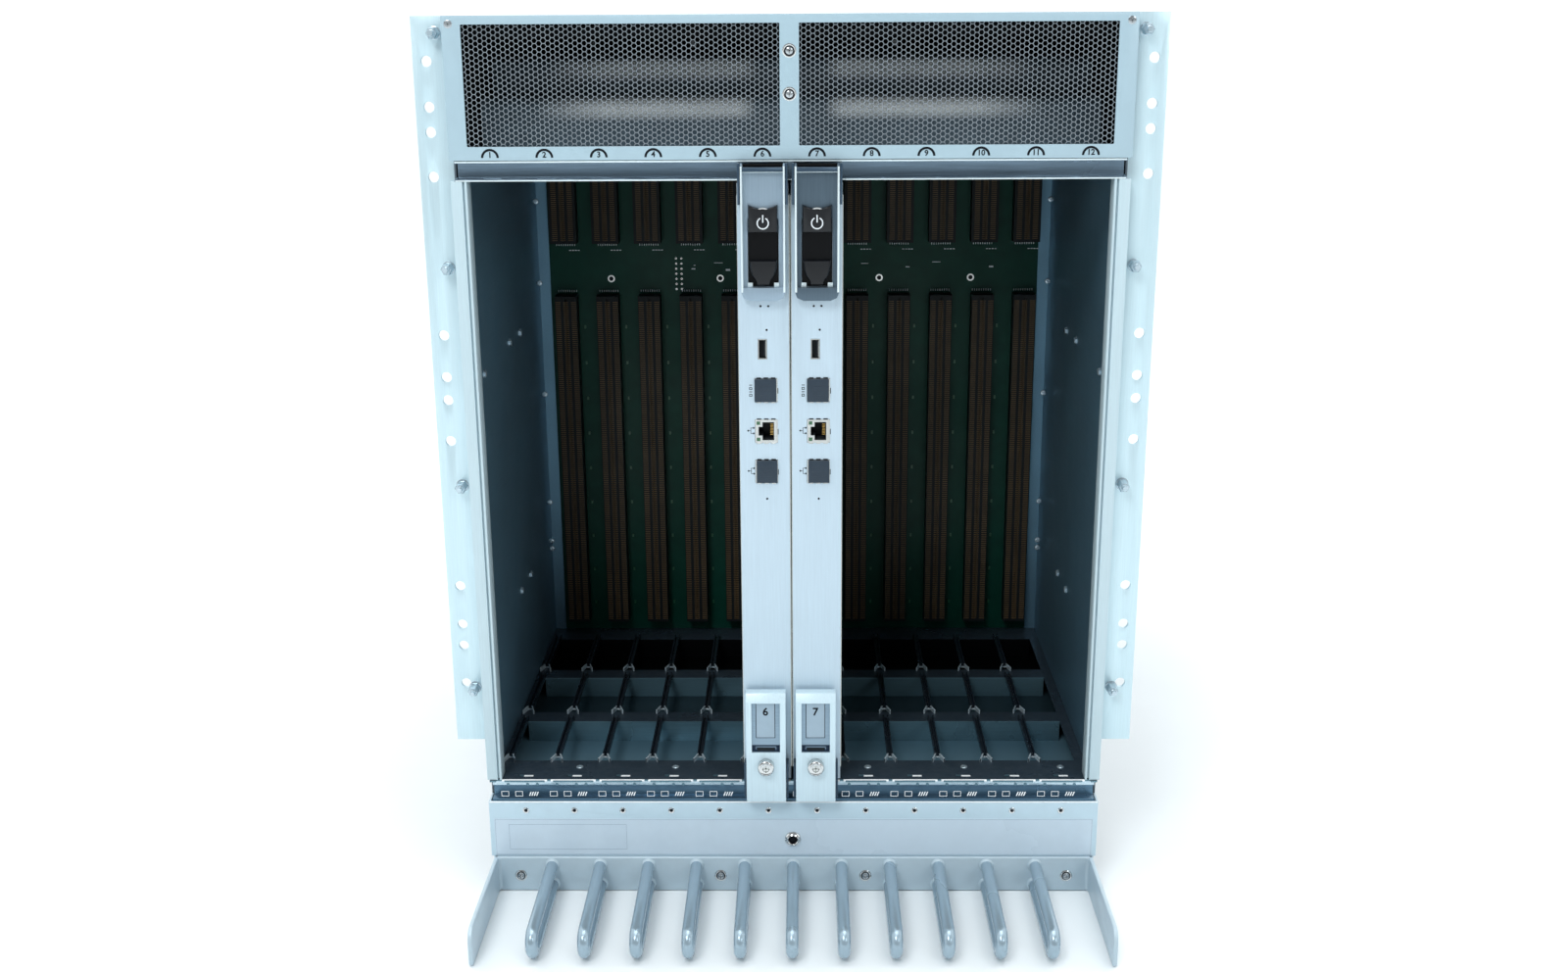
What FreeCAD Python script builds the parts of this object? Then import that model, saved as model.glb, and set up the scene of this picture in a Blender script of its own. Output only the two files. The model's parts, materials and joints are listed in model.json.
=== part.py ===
import FreeCAD, Part
import math
import os
import re
import Sketcher

# Rack-mounted modular chassis switch: a twelve-slot card cage with two control
# blades, a cable comb below and blowers and power supplies at the back.
# Frame: +X to the right seen from the front, +Y into the chassis, +Z up.
# Origin: centre of the chassis' bottom face.

SIZES = {
    # outer shell
    "chassis_width": 437.4,
    "chassis_height": 612.4,
    "chassis_depth": 611.9,
    "wall": 1.6,
    "panel_sheet": 1.5,
    "return_depth": 14.0,
    "rear_fold": 2.4,
    "fit_gap": 0.3,
    # card cage
    "cage_margin": 18.3,
    "slot_count": 12,
    "floor_top": 86.6,
    "floor_sheet": 1.5,
    "cage_drop": 102.9,
    "cage_sheet": 1.2,
    "cage_wall_inset": 4.9,
    "rear_space": 308.5,
    "midplane_thickness": 3.0,
    "midplane_bottom": 75.0,
    "midplane_rise": 5.5,
    "midplane_flange": 9.0,
    # front uprights
    "upright_width": 10.4,
    "upright_front": 0.8,
    "upright_groove": 1.3,
    "upright_lip": 1.6,
    # card guides
    "guide_offset": 1.5,
    "guide_width": 4.4,
    "guide_height": 3.6,
    "guide_base": 1.2,
    "guide_groove": 2.2,
    "guide_start": 29.0,
    "guide_bar": 9.5,
    "guide_rear": 24.4,
    "guide_rows": 3,
    "guide_seat": 4.0,
    "mouth_width": 9.4,
    "mouth_length": 8.0,
    "mouth_wall": 1.0,
    # cage floor
    "cage_window_margin": 12.7,
    "apron_slot_width": 10.0,
    "apron_slot_depth": 2.4,
    "apron_slot_setback": 7.0,
    "edge_notch_width": 6.0,
    "edge_notch_depth": 1.8,
    "tray_top": 70.0,
    # rails across the front
    "rail_inset": 2.7,
    "rail_sheet": 1.6,
    "rail_front": 1.0,
    "rail_height": 13.0,
    "claw_notch_width": 12.0,
    "claw_notch_depth": 4.0,
    "lower_rail_front": 5.0,
    "lower_rail_step": 4.0,
    "ledge_drop": 6.1,
    # vent bezel and screens
    "bezel_height": 89.6,
    "window_inner": 6.2,
    "bezel_side": 12.2,
    "bezel_sill": 8.7,
    "bezel_head": 5.6,
    "screen_overlap": 3.0,
    "screen_sheet": 1.2,
    "screen_web": 4.2,
    "screen_columns": 8,
    "screen_rows": 2,
    # air baffle behind the screens
    "baffle_sheet": 1.2,
    "baffle_inset": 2.0,
    "baffle_run": 52.0,
    "baffle_bend": 8.0,
    "baffle_rise": 35.2,
    "baffle_drop": 29.4,
    # lower front panel
    "panel_bottom": 26.6,
    "panel_drop": 16.5,
    "jack_z": 40.6,
    "jack_flats": 10.0,
    "jack_nut_depth": 3.0,
    "jack_sleeve_radius": 4.2,
    "jack_sleeve_length": 15.0,
    "jack_bore_radius": 2.0,
    "jack_bore_depth": 14.0,
    # cable comb
    "comb_inset": 2.2,
    "comb_bottom": 0.5,
    "comb_height": 26.5,
    "comb_sheet": 3.0,
    "comb_reach": 102.0,
    "comb_bevel": 9.0,
    "finger_radius": 4.25,
    "finger_bend": 7.5,
    "finger_z": 13.2,
    "comb_screw_edge": 19.0,
    "comb_screw_z": 12.5,
    # rack ears
    "ear_width": 22.6,
    "ear_setback": 15.0,
    "ear_sheet": 2.5,
    "ear_length": 500.4,
    "ear_flange_depth": 32.0,
    "rack_hole_edge": 8.75,
    "rack_hole_radius": 3.5,
    "rack_hole_drop": 28.0,
    "rack_unit": 44.45,
    "rack_hole_step": 28.575,
    "rack_group_units": 4,
    "rack_groups": 3,
    "ear_bolt_edge": 15.1,
    "ear_bolt_rise": 40.4,
    "ear_bolt_drop": 10.6,
    "ear_bolt_count": 4,
    "ear_bolt_flats": 7.6,
    "ear_bolt_length": 13.0,
    # screws
    "screw_head_radius": 3.4,
    "screw_head_height": 1.9,
    "bezel_screw_rise": 40.7,
    "bezel_screw_spacing": 26.5,
    # midplane connectors
    "connector_depth": 14.0,
    "connector_shift": 1.2,
    "lower_connector_width": 18.4,
    "lower_connector_bottom": 98.0,
    "lower_connector_drop": 121.5,
    "upper_connector_width": 22.0,
    "upper_connector_drop": 77.5,
    "connector_clearance": 4.5,
    "connector_channel": 2.2,
    "connector_channel_depth": 5.0,
    # blades, measured from the left boundary of their slot
    "plate_left": 0.7,
    "plate_clearance": 1.025,
    "plate_sill": 1.8,
    "plate_gap": 1.5,
    "plate_return": 12.0,
    "gasket": 0.6,
    "gasket_setback": 3.0,
    "gasket_depth": 8.0,
    "gasket_end": 8.0,
    "carrier_sheet": 1.4,
    "carrier_clearance": 23.4,
    "carrier_sill": 1.5,
    "carrier_gap": 0.9,
    "board_left": 9.4,
    "board_sheet": 1.6,
    "board_front": 4.0,
    "board_clearance": 45.4,
    "board_bottom": 100.0,
    "board_gap": 11.5,
    "standoff_radius": 2.5,
    "sink_depth": 14.0,
    "sink_width": 62.0,
    "sink_fins": 6,
    "sink_fin": 1.6,
    "mate_length": 34.0,
    # sockets on the blade's front
    "socket_left": 11.0,
    "socket_right": 25.8,
    "socket_height": 16.0,
    "socket_depth": 18.0,
    "socket_drop": 137.8,
    "socket_spacing": 28.0,
    "plug_left": 15.8,
    "plug_right": 23.6,
    "plug_height": 12.4,
    "plug_depth": 12.5,
    "latch_left": 13.2,
    "latch_height": 6.0,
    "usb_left": 13.4,
    "usb_right": 19.2,
    "usb_drop": 116.7,
    "usb_length": 13.4,
    "usb_wall": 0.5,
    "usb_depth": 12.0,
    "usb_tongue": 1.6,
    "cutout_gap": 0.2,
    "cap_plate": 1.6,
    "cap_plug_depth": 6.0,
    "cap_gap": 0.3,
    # levers and their pins
    "ear_tab": 1.5,
    "pin_radius": 1.5,
    "pin_running_gap": 0.08,
    "pin_reach": 6.0,
    "ear_reach": 9.0,
    "bracket_length": 22.0,
    "bracket_end": 4.0,
    "upper_pin_rise": 7.5,
    "lower_pin_drop": 4.6,
    "upper_lever_margin": 6.325,
    "upper_lever_length": 86.2,
    "lever_end": 2.0,
    "lever_sheet": 1.2,
    "upper_web_back": 1.8,
    "upper_flange_front": 9.0,
    "upper_lip_height": 8.4,
    "upper_lip_front": 7.4,
    "upper_corner": 5.5,
    "window_side": 4.2,
    "lever_window_reach": 52.8,
    "tongue_width": 8.0,
    "upper_tongue_end": 3.0,
    "lower_tongue_end": 2.0,
    "lower_lever_left": 2.5,
    "lower_lever_margin": 7.125,
    "lower_lever_length": 81.6,
    "lower_lever_front": 13.0,
    "lower_lever_back": 0.6,
    "lower_lever_slope": 6.0,
    "recess_side": 4.0,
    "recess_rise": 37.9,
    "recess_drop": 6.6,
    "recess_depth": 2.4,
    "thumbscrew_rise": 28.0,
    "thumbscrew_radius": 5.8,
    "thumbscrew_length": 6.0,
    "thumbscrew_shank": 2.0,
    "thumbscrew_tip": 0.9,
    "thumbscrew_chamfer": 0.8,
    "thumbscrew_hole": 2.6,
    # power slider on the upper lever
    "slider_rise": 9.4,
    "slider_grip": 34.6,
    "slider_cap": 17.8,
    "slider_gap": 0.6,
    "slider_cap_step": 1.3,
    "slider_foot_step": 4.0,
    "slider_travel": 8.0,
    # rear bay, blowers and power supplies
    "blower_count": 3,
    "blower_margin": 4.2,
    "blower_gap": 5.0,
    "blower_head_gap": 4.5,
    "blower_depth": 180.0,
    "blower_sheet": 1.6,
    "shelf_rise": 8.7,
    "exhaust_margin": 13.0,
    "exhaust_slot": 9.0,
    "exhaust_pitch": 16.0,
    "axle_radius": 3.0,
    "axle_length": 62.0,
    "impeller_gap": 7.0,
    "impeller_hub_radius": 17.0,
    "impeller_height": 42.0,
    "impeller_plate": 2.0,
    "impeller_setback": 8.0,
    "supply_count": 4,
    "supply_margin": 4.7,
    "supply_gap": 4.0,
    "supply_top": 88.0,
    "supply_depth": 285.0,
    "inlet_width": 30.0,
    "inlet_height": 23.0,
    "inlet_depth": 18.0,
    "inlet_pin_depth": 10.0,
    "handle_bar": 6.0,
    "handle_reach": 28.0,
    "handle_span": 70.0,
}

# sizes that follow from the ones above, by a named margin or clearance
TIES = {
    "slot_pitch": "(chassis_width - cage_margin)/slot_count",
    "cage_wall_x": "chassis_width/2 - cage_wall_inset",
    "upright_inner": "chassis_width/2 - upright_width",
    "window_half_width": "chassis_width/2 - cage_window_margin",
    "rail_half_width": "chassis_width/2 - rail_inset",
    "window_outer": "chassis_width/2 - bezel_side",
    "comb_half_width": "chassis_width/2 - comb_inset",
    "comb_screw_outer": "comb_half_width - comb_screw_edge",
    "comb_screw_inner": "1.5*slot_pitch",
    "ear_outer": "chassis_width/2 + ear_width",
    "rack_hole_x": "ear_outer - rack_hole_edge",
    "ear_bolt_x": "ear_outer - ear_bolt_edge",
    "blower_pitch": "(chassis_width - 2*blower_margin)/blower_count",
    "blower_width": "blower_pitch - blower_gap",
    "exhaust_width": "blower_width - 2*exhaust_margin",
    "impeller_radius": "blower_width/2 - impeller_gap",
    "supply_pitch": "(chassis_width - 2*supply_margin)/supply_count",
    "supply_width": "supply_pitch - supply_gap",
    "plate_right": "slot_pitch - plate_clearance",
    "upper_lever_width": "slot_pitch - upper_lever_margin",
    "lower_lever_width": "slot_pitch - lower_lever_margin",
    "slider_half_width": "upper_lever_width/2 - window_side - slider_gap",
    "slider_cap_half_width": "slider_half_width - slider_cap_step",
    "slider_foot_half_width": "slider_half_width - slider_foot_step",
    "cage_top": "chassis_height - cage_drop",
    "bezel_bottom": "chassis_height - bezel_height",
    "window_bottom": "bezel_bottom + bezel_sill",
    "window_top": "chassis_height - bezel_head",
    "bezel_screw_low": "bezel_bottom + bezel_screw_rise",
    "midplane_top": "cage_top + midplane_rise",
    "baffle_step": "bezel_bottom + baffle_rise",
    "baffle_top": "chassis_height - baffle_drop",
    "rack_hole_top": "chassis_height - rack_hole_drop",
    "ear_bottom": "chassis_height - ear_length",
    "ear_bolt_bottom": "ear_bottom + ear_bolt_rise",
    "ear_bolt_spacing": "(ear_length - ear_bolt_rise - ear_bolt_drop)/(ear_bolt_count - 1)",
    "lower_connector_top": "cage_top - lower_connector_drop",
    "upper_connector_bottom": "cage_top - upper_connector_drop",
    "upper_connector_top": "cage_top - connector_clearance",
    "plate_bottom": "floor_top + plate_sill",
    "plate_top": "cage_top - plate_gap",
    "carrier_bottom": "floor_top + carrier_sill",
    "carrier_top": "cage_top - carrier_gap",
    "board_top": "cage_top - board_gap",
    "socket_top_z": "cage_top - socket_drop",
    "usb_bottom": "cage_top - usb_drop",
    "usb_top": "usb_bottom + usb_length",
    "upper_pin_z": "cage_top + upper_pin_rise",
    "lower_pin_z": "floor_top - lower_pin_drop",
    "upper_lever_top": "upper_pin_z + lever_end",
    "upper_lever_bottom": "upper_lever_top - upper_lever_length",
    "lever_window_top": "upper_lever_bottom + lever_window_reach",
    "slider_bottom": "upper_lever_bottom + slider_rise",
    "slider_step": "slider_bottom + slider_grip",
    "slider_top": "slider_step + slider_cap",
    "lower_lever_bottom": "lower_pin_z - pin_reach + lower_lever_back",
    "lower_lever_top": "lower_lever_bottom + lower_lever_length",
    "recess_bottom": "lower_lever_bottom + recess_rise",
    "recess_top": "lower_lever_top - recess_drop",
    "thumbscrew_z": "lower_lever_bottom + thumbscrew_rise",
    "supply_bottom": "wall + fit_gap",
    "shelf_top": "supply_top + shelf_rise",
    "blower_bottom": "shelf_top + fit_gap",
    "blower_top": "cage_top - blower_head_gap",
    "intake_z": "(blower_bottom + blower_top)/2",
    "panel_top": "floor_top - panel_drop",
    "lower_rail_ledge": "floor_top - ledge_drop",
    "midplane_front": "chassis_depth - rear_space",
    "carrier_length": "midplane_front - carrier_clearance",
    "board_length": "midplane_front - board_clearance",
    "guide_length": "guide_spacing - guide_bar",
    "guide_spacing": "(midplane_front - guide_start - guide_rear + guide_bar)/guide_rows",
    "baffle_front": "guide_start + guide_length + baffle_inset",
    "baffle_back": "baffle_front + baffle_run",
    "screen_hole": "screen_pitch - screen_web",
    "screen_pitch": "(window_outer - window_inner)/screen_columns*2/sqrt(3)",
}

# facets of the rods, screw heads and impellers
FINGER_SIDES = 8
FINGER_TURNS = 4
HEAD_SIDES = 12
EXHAUST_SLOTS = 8
VANES = 7

document = FreeCAD.newDocument("modular_chassis_switch")
sheet = document.addObject("Spreadsheet::Sheet", "Dims")
for row, (alias, size) in enumerate(SIZES.items(), start=1):
    sheet.set(f"A{row}", alias)
    sheet.set(f"B{row}", str(size))
    sheet.setAlias(f"B{row}", alias)
document.recompute()

FRONT = "-chassis_depth/2"
subparts = []


# ---------------------------------------------------------------- helpers

def formula(text):
    """Point every size named in a formula at its spreadsheet cell."""
    def cell(word):
        name = word.group(0)
        if name in TIES:
            return f"({formula(TIES[name])})"
        return "Dims." + name if name in SIZES else name
    return re.sub(r"[a-z][a-z_0-9]+", cell, str(text))


def value(text):
    return float(sheet.evalExpression(formula(text)))


def behind(distance):
    """Y of a plane that lies this far behind the chassis' front plane."""
    return f"({FRONT} + ({distance}))"


def slot_left(slot):
    """X of the left boundary of a slot, counted from 1."""
    return f"(({slot} - 1 - slot_count/2)*slot_pitch)"


def in_slot(slot, offset):
    return f"({slot_left(slot)} + ({offset}))"


def mirrored_span(side, inner, outer):
    if side > 0:
        return (inner, outer)
    return (f"-({outer})", f"-({inner})")


def finish(feature, label):
    """Name a finished sub-part; its label names its file."""
    feature.Label = label
    subparts.append(feature)
    return feature


def box(x, y, z):
    solid = document.addObject("Part::Box", "Block")
    for axis, span, size in (("x", x, "Length"), ("y", y, "Width"), ("z", z, "Height")):
        low, high = span
        solid.setExpression(f"Placement.Base.{axis}", formula(low))
        solid.setExpression(size, formula(f"({high}) - ({low})"))
    return solid


def bar(axis, centre, radius, low, high, sides=0):
    """Bar along X or Y, round or with flat sides; centre holds the other two coordinates."""
    solid = document.addObject("Part::Prism" if sides else "Part::Cylinder", "Bar")
    if sides:
        solid.Polygon = sides
    solid.setExpression("Circumradius" if sides else "Radius", formula(radius))
    solid.setExpression("Height", formula(f"({high}) - ({low})"))
    if axis == "X":
        solid.Placement.Rotation = FreeCAD.Rotation(FreeCAD.Vector(0, 1, 0), 90)
        base = (low, centre[0], centre[1])
    else:
        solid.Placement.Rotation = FreeCAD.Rotation(FreeCAD.Vector(1, 0, 0), -90)
        base = (centre[0], low, centre[1])
    for name, place in zip("xyz", base):
        solid.setExpression(f"Placement.Base.{name}", formula(place))
    return solid


def fuse(parts):
    joined = document.addObject("Part::MultiFuse", "Joined")
    joined.Shapes = parts
    joined.Refine = True
    return joined


def cut(base, tools):
    removed = document.addObject("Part::Cut", "Cut")
    removed.Base = base
    removed.Tool = tools[0] if len(tools) == 1 else fuse(tools)
    return removed


def group(parts):
    together = document.addObject("Part::Compound", "Group")
    together.Links = parts
    return together


def new_body():
    return document.addObject("PartDesign::Body", "Body")


def origin_feature(body, role):
    return next(item for item in body.Origin.OriginFeatures if item.Role == role)


def new_sketch(body, plane, level="0"):
    """Sketch on an origin plane of the body, moved along that plane's global axis."""
    drawing = body.newObject("Sketcher::SketchObject", "Sketch")
    drawing.AttachmentSupport = (origin_feature(body, plane + "_Plane"), [""])
    drawing.MapMode = "FlatFace"
    sign = "-" if plane == "XZ" else ""
    drawing.setExpression("AttachmentOffset.Base.z", formula(f"{sign}({level})"))
    return drawing


def bound_constraint(drawing, kind, *arguments):
    """Add a dimension whose size is the last argument's formula."""
    references, text = arguments[:-1], arguments[-1]
    number = drawing.addConstraint(Sketcher.Constraint(kind, *references, value(text)))
    drawing.setExpression(f"Constraints[{number}]", formula(text))


def outline(drawing, points):
    """Closed outline with straight sides through points given as formulas."""
    corners = [FreeCAD.Vector(value(x), value(y), 0) for x, y in points]
    first = drawing.GeometryCount
    count = len(points)
    for index in range(count):
        edge = Part.LineSegment(corners[index], corners[(index + 1) % count])
        drawing.addGeometry(edge, False)
    for index in range(count):
        following = first + (index + 1) % count
        drawing.addConstraint(Sketcher.Constraint("Coincident", first + index, 2, following, 1))
    for index, (x, y) in enumerate(points):
        bound_constraint(drawing, "DistanceX", -1, 1, first + index, 1, x)
        bound_constraint(drawing, "DistanceY", -1, 1, first + index, 1, y)


def rectangle(drawing, x, y):
    outline(drawing, [(x[0], y[0]), (x[1], y[0]), (x[1], y[1]), (x[0], y[1])])


def circle(drawing, x, y, radius):
    centre = FreeCAD.Vector(value(x), value(y), 0)
    number = drawing.addGeometry(Part.Circle(centre, FreeCAD.Vector(0, 0, 1), value(radius)), False)
    bound_constraint(drawing, "Radius", number, radius)
    bound_constraint(drawing, "DistanceX", -1, 1, number, 3, x)
    bound_constraint(drawing, "DistanceY", -1, 1, number, 3, y)


def hexagon(drawing, x, y, flats):
    """Hexagon with two level sides, given its width across flats."""
    half = f"({flats})/2"
    point = f"({flats})/sqrt(3)"
    outline(drawing, [
        (f"{x} + {point}", y), (f"{x} + {point}/2", f"{y} + {half}"),
        (f"{x} - {point}/2", f"{y} + {half}"), (f"{x} - {point}", y),
        (f"{x} - {point}/2", f"{y} - {half}"), (f"{x} + {point}/2", f"{y} - {half}")])


def polygon(drawing, x, y, radius, sides):
    """Regular outline whose flats lie one radius from its centre."""
    corner = f"({radius})/cos(180/{sides})"
    outline(drawing, [
        (f"{x} + {corner}*cos({(index + 0.5)*360/sides})",
         f"{y} + {corner}*sin({(index + 0.5)*360/sides})") for index in range(sides)])


def pad(body, drawing, length, forward=True):
    """Add material along the sketch plane's global axis, or against it."""
    feature = body.newObject("PartDesign::Pad", "Pad")
    feature.Profile = drawing
    feature.setExpression("Length", formula(length))
    on_xz = drawing.AttachmentSupport[0][0].Role == "XZ_Plane"
    feature.Reversed = forward if on_xz else not forward
    document.recompute()
    return feature


def centred_pad(body, drawing, length):
    feature = body.newObject("PartDesign::Pad", "Pad")
    feature.Profile = drawing
    feature.setExpression("Length", formula(length))
    feature.Midplane = True
    document.recompute()
    return feature


def pocket(body, drawing, depth, forward=True):
    """Remove material along the sketch plane's global axis, or against it."""
    before = body.Shape.Volume
    feature = body.newObject("PartDesign::Pocket", "Pocket")
    feature.Profile = drawing
    feature.setExpression("Length", formula(depth))
    on_xz = drawing.AttachmentSupport[0][0].Role == "XZ_Plane"
    feature.Reversed = not forward if on_xz else forward
    document.recompute()
    if body.Shape.Volume >= before:
        raise RuntimeError("a pocket removed nothing")
    return feature


def repeat(body, features, *runs):
    """Repeat features along one or more global axes: (axis, spacing, count) each."""
    transform = body.newObject("PartDesign::MultiTransform", "Repeat")
    transform.Originals = features
    steps = []
    for axis, spacing, count in runs:
        step = body.newObject("PartDesign::LinearPattern", "Row")
        step.Direction = (origin_feature(body, axis + "_Axis"), [""])
        step.Mode = "Spacing"
        step.setExpression("Offset", formula(spacing))
        step.setExpression("Occurrences", formula(count))
        steps.append(step)
    transform.Transformations = steps
    body.Tip = transform
    document.recompute()
    return transform


# ---------------------------------------------------------------- outer shell

def side_wall(label, side):
    inner = "chassis_width/2 - wall"
    plate = box(mirrored_span(side, inner, "chassis_width/2"),
                (behind("return_depth"), "chassis_depth/2"), ("0", "chassis_height"))
    rear_return = box(mirrored_span(side, f"{inner} - rear_fold", "chassis_width/2"),
                      ("chassis_depth/2 - wall", "chassis_depth/2"), ("0", "chassis_height"))
    finish(fuse([plate, rear_return]), label)


def top_cover():
    body = new_body()
    drawing = new_sketch(body, "YZ")
    front = behind("return_depth")
    back = "chassis_depth/2 - wall"
    low = "chassis_height - return_depth"
    outline(drawing, [
        (front, low), (front, "chassis_height"), (back, "chassis_height"), (back, low),
        (f"{back} - wall", low), (f"{back} - wall", "chassis_height - wall"),
        (f"{front} + wall", "chassis_height - wall"), (f"{front} + wall", low)])
    centred_pad(body, drawing, "chassis_width - 2*wall")
    finish(body, "top_cover")


def bottom_pan():
    body = new_body()
    drawing = new_sketch(body, "YZ")
    back = "chassis_depth/2 - wall"
    outline(drawing, [
        (behind("0"), "0"), (back, "0"), (back, "wall"), (behind("panel_sheet"), "wall"),
        (behind("panel_sheet"), "panel_bottom"), (behind("0"), "panel_bottom")])
    centred_pad(body, drawing, "chassis_width - 2*wall")
    finish(body, "bottom_pan")


def upright(label, side):
    """Grooved post at each edge of the card cage opening."""
    body = new_body()
    drawing = new_sketch(body, "XY", "floor_top")
    front = behind("upright_front")
    groove = "upright_inner + upright_lip"
    outline(drawing, [(f"{side}*({x})", y) for x, y in (
        ("chassis_width/2", front), ("chassis_width/2", behind("return_depth")),
        ("upright_inner", behind("return_depth")), ("upright_inner", front),
        (groove, front), (groove, f"{front} + 2*upright_groove"),
        (f"{groove} + upright_groove", f"{front} + 2*upright_groove"),
        (f"{groove} + upright_groove", front))])
    pad(body, drawing, "cage_top - floor_top")
    finish(body, label)


def cage_wall(label, side):
    """Folded sheet beside the cards; its rear fold carries the midplane."""
    body = new_body()
    drawing = new_sketch(body, "XY", "floor_top")
    shell = "chassis_width/2 - wall"
    front = behind("return_depth")
    back = behind("midplane_front")
    outline(drawing, [(f"{side}*({x})", y) for x, y in (
        (shell, front), ("cage_wall_x", front), ("cage_wall_x", f"{back} - cage_sheet"),
        ("cage_wall_x - midplane_flange", f"{back} - cage_sheet"),
        ("cage_wall_x - midplane_flange", back), ("cage_wall_x + cage_sheet", back),
        ("cage_wall_x + cage_sheet", f"{front} + cage_sheet"), (shell, f"{front} + cage_sheet"))])
    pad(body, drawing, "cage_top + rail_sheet - floor_top")
    finish(body, label)


# ---------------------------------------------------------------- vent section

def vent_bezel():
    body = new_body()
    face = new_sketch(body, "XZ", behind("0"))
    rectangle(face, ("-chassis_width/2", "chassis_width/2"), ("bezel_bottom", "chassis_height"))
    pad(body, face, "panel_sheet")
    rim = new_sketch(body, "XZ", behind("0"))
    rectangle(rim, ("-chassis_width/2", "chassis_width/2"), ("bezel_bottom", "chassis_height"))
    rectangle(rim, ("wall - chassis_width/2", "chassis_width/2 - wall"),
              ("bezel_bottom + wall", "chassis_height - wall"))
    pad(body, rim, "return_depth")
    windows = new_sketch(body, "XZ", behind("0"))
    for side in (-1, 1):
        rectangle(windows, mirrored_span(side, "window_inner", "window_outer"),
                  ("window_bottom", "window_top"))
    pocket(body, windows, "panel_sheet")
    finish(body, "vent_bezel")


def vent_screens():
    """Two perforated sheets behind the bezel's windows, with staggered hexagons."""
    body = new_body()
    sheets = new_sketch(body, "XZ", behind("panel_sheet"))
    for side in (-1, 1):
        rectangle(sheets, mirrored_span(side, "window_inner - screen_overlap",
                                        "window_outer + screen_overlap"),
                  ("window_bottom - screen_overlap", "window_top + screen_overlap/2"))
    pad(body, sheets, "screen_sheet")
    holes = new_sketch(body, "XZ", behind("panel_sheet"))
    column = "(window_outer - window_inner)/screen_columns"
    low = "(window_bottom + window_top)/2 - screen_pitch*(screen_rows/2 - 1/4)"
    for side in (-1, 1):
        start = f"({mirrored_span(side, 'window_inner', 'window_outer')[0]} + {column}/2)"
        hexagon(holes, start, low, "screen_hole")
        hexagon(holes, f"{start} + {column}", f"{low} + screen_pitch/2", "screen_hole")
    opened = pocket(body, holes, "screen_sheet")
    repeat(body, [opened], ("X", f"2*{column}", "screen_columns/2"),
           ("Z", "screen_pitch", "screen_rows"))
    finish(body, "vent_screens")


def air_baffle():
    """Stepped sheet that turns the air out through the screens."""
    body = new_body()
    drawing = new_sketch(body, "YZ")
    sheet_depth = "baffle_sheet"
    foot = "cage_top + rail_sheet + floor_sheet"
    path = [
        ("baffle_front", foot), ("baffle_front", "baffle_step - baffle_bend"),
        ("baffle_front + baffle_bend", "baffle_step"), ("baffle_back", "baffle_step"),
        ("baffle_back", "baffle_top - baffle_bend"),
        ("baffle_back + baffle_bend", "baffle_top"), ("midplane_front", "baffle_top")]
    front_side = [(behind(y), z) for y, z in path]
    back_side = [(behind(f"{y} + {sheet_depth}"), f"{z} - {sheet_depth}") for y, z in path[1:-1]]
    back_side.insert(0, (behind(f"baffle_front + {sheet_depth}"), foot))
    back_side.append((behind("midplane_front"), f"baffle_top - {sheet_depth}"))
    outline(drawing, front_side + back_side[::-1])
    centred_pad(body, drawing, "chassis_width - 2*wall")
    finish(body, "air_baffle")


# ---------------------------------------------------------------- front rails and panel

def top_rail():
    """Channel open to the front that the blades' upper claws reach into."""
    body = new_body()
    drawing = new_sketch(body, "YZ")
    front, back = behind("rail_front"), behind("return_depth")
    low, high = "cage_top", "cage_top + rail_height"
    outline(drawing, [
        (front, low), (back, low), (back, high), (front, high),
        (front, f"{high} - rail_sheet"), (f"{back} - rail_sheet", f"{high} - rail_sheet"),
        (f"{back} - rail_sheet", f"{low} + rail_sheet"), (front, f"{low} + rail_sheet")])
    centred_pad(body, drawing, "2*rail_half_width")
    notch = new_sketch(body, "XY", "cage_top")
    centre = f"({slot_left(1)} + slot_pitch/2)"
    rectangle(notch, (f"{centre} - claw_notch_width/2", f"{centre} + claw_notch_width/2"),
              (front, f"{front} + claw_notch_depth"))
    opened = pocket(body, notch, "rail_sheet")
    repeat(body, [opened], ("X", "slot_pitch", "slot_count"))
    finish(body, "top_rail")


def bottom_rail():
    """Stepped strip under the card openings."""
    body = new_body()
    drawing = new_sketch(body, "YZ")
    front = behind("lower_rail_front")
    deep = behind("lower_rail_front + lower_rail_step")
    lip = behind("panel_sheet")
    top = "floor_top - floor_sheet"
    base = "panel_top + rail_sheet"
    outline(drawing, [
        (front, top), (front, "lower_rail_ledge"), (deep, "lower_rail_ledge"), (deep, base),
        (lip, base), (lip, "panel_top"), (f"{deep} + rail_sheet", "panel_top"),
        (f"{deep} + rail_sheet", "lower_rail_ledge + rail_sheet"),
        (f"{front} + rail_sheet", "lower_rail_ledge + rail_sheet"), (f"{front} + rail_sheet", top)])
    centred_pad(body, drawing, "2*rail_half_width")
    finish(body, "bottom_rail")


def lower_panel():
    body = new_body()
    face = new_sketch(body, "XZ", behind("0"))
    rectangle(face, ("-chassis_width/2", "chassis_width/2"), ("panel_bottom", "panel_top"))
    pad(body, face, "panel_sheet")
    sides = new_sketch(body, "XZ", behind("0"))
    for side in (-1, 1):
        rectangle(sides, mirrored_span(side, "chassis_width/2 - wall", "chassis_width/2"),
                  ("panel_bottom", "panel_top"))
    pad(body, sides, "return_depth")
    jack_hole = new_sketch(body, "XZ", behind("0"))
    polygon(jack_hole, "0", "jack_z", "jack_sleeve_radius + fit_gap", HEAD_SIDES)
    pocket(body, jack_hole, "panel_sheet")
    finish(body, "lower_panel")


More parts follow.
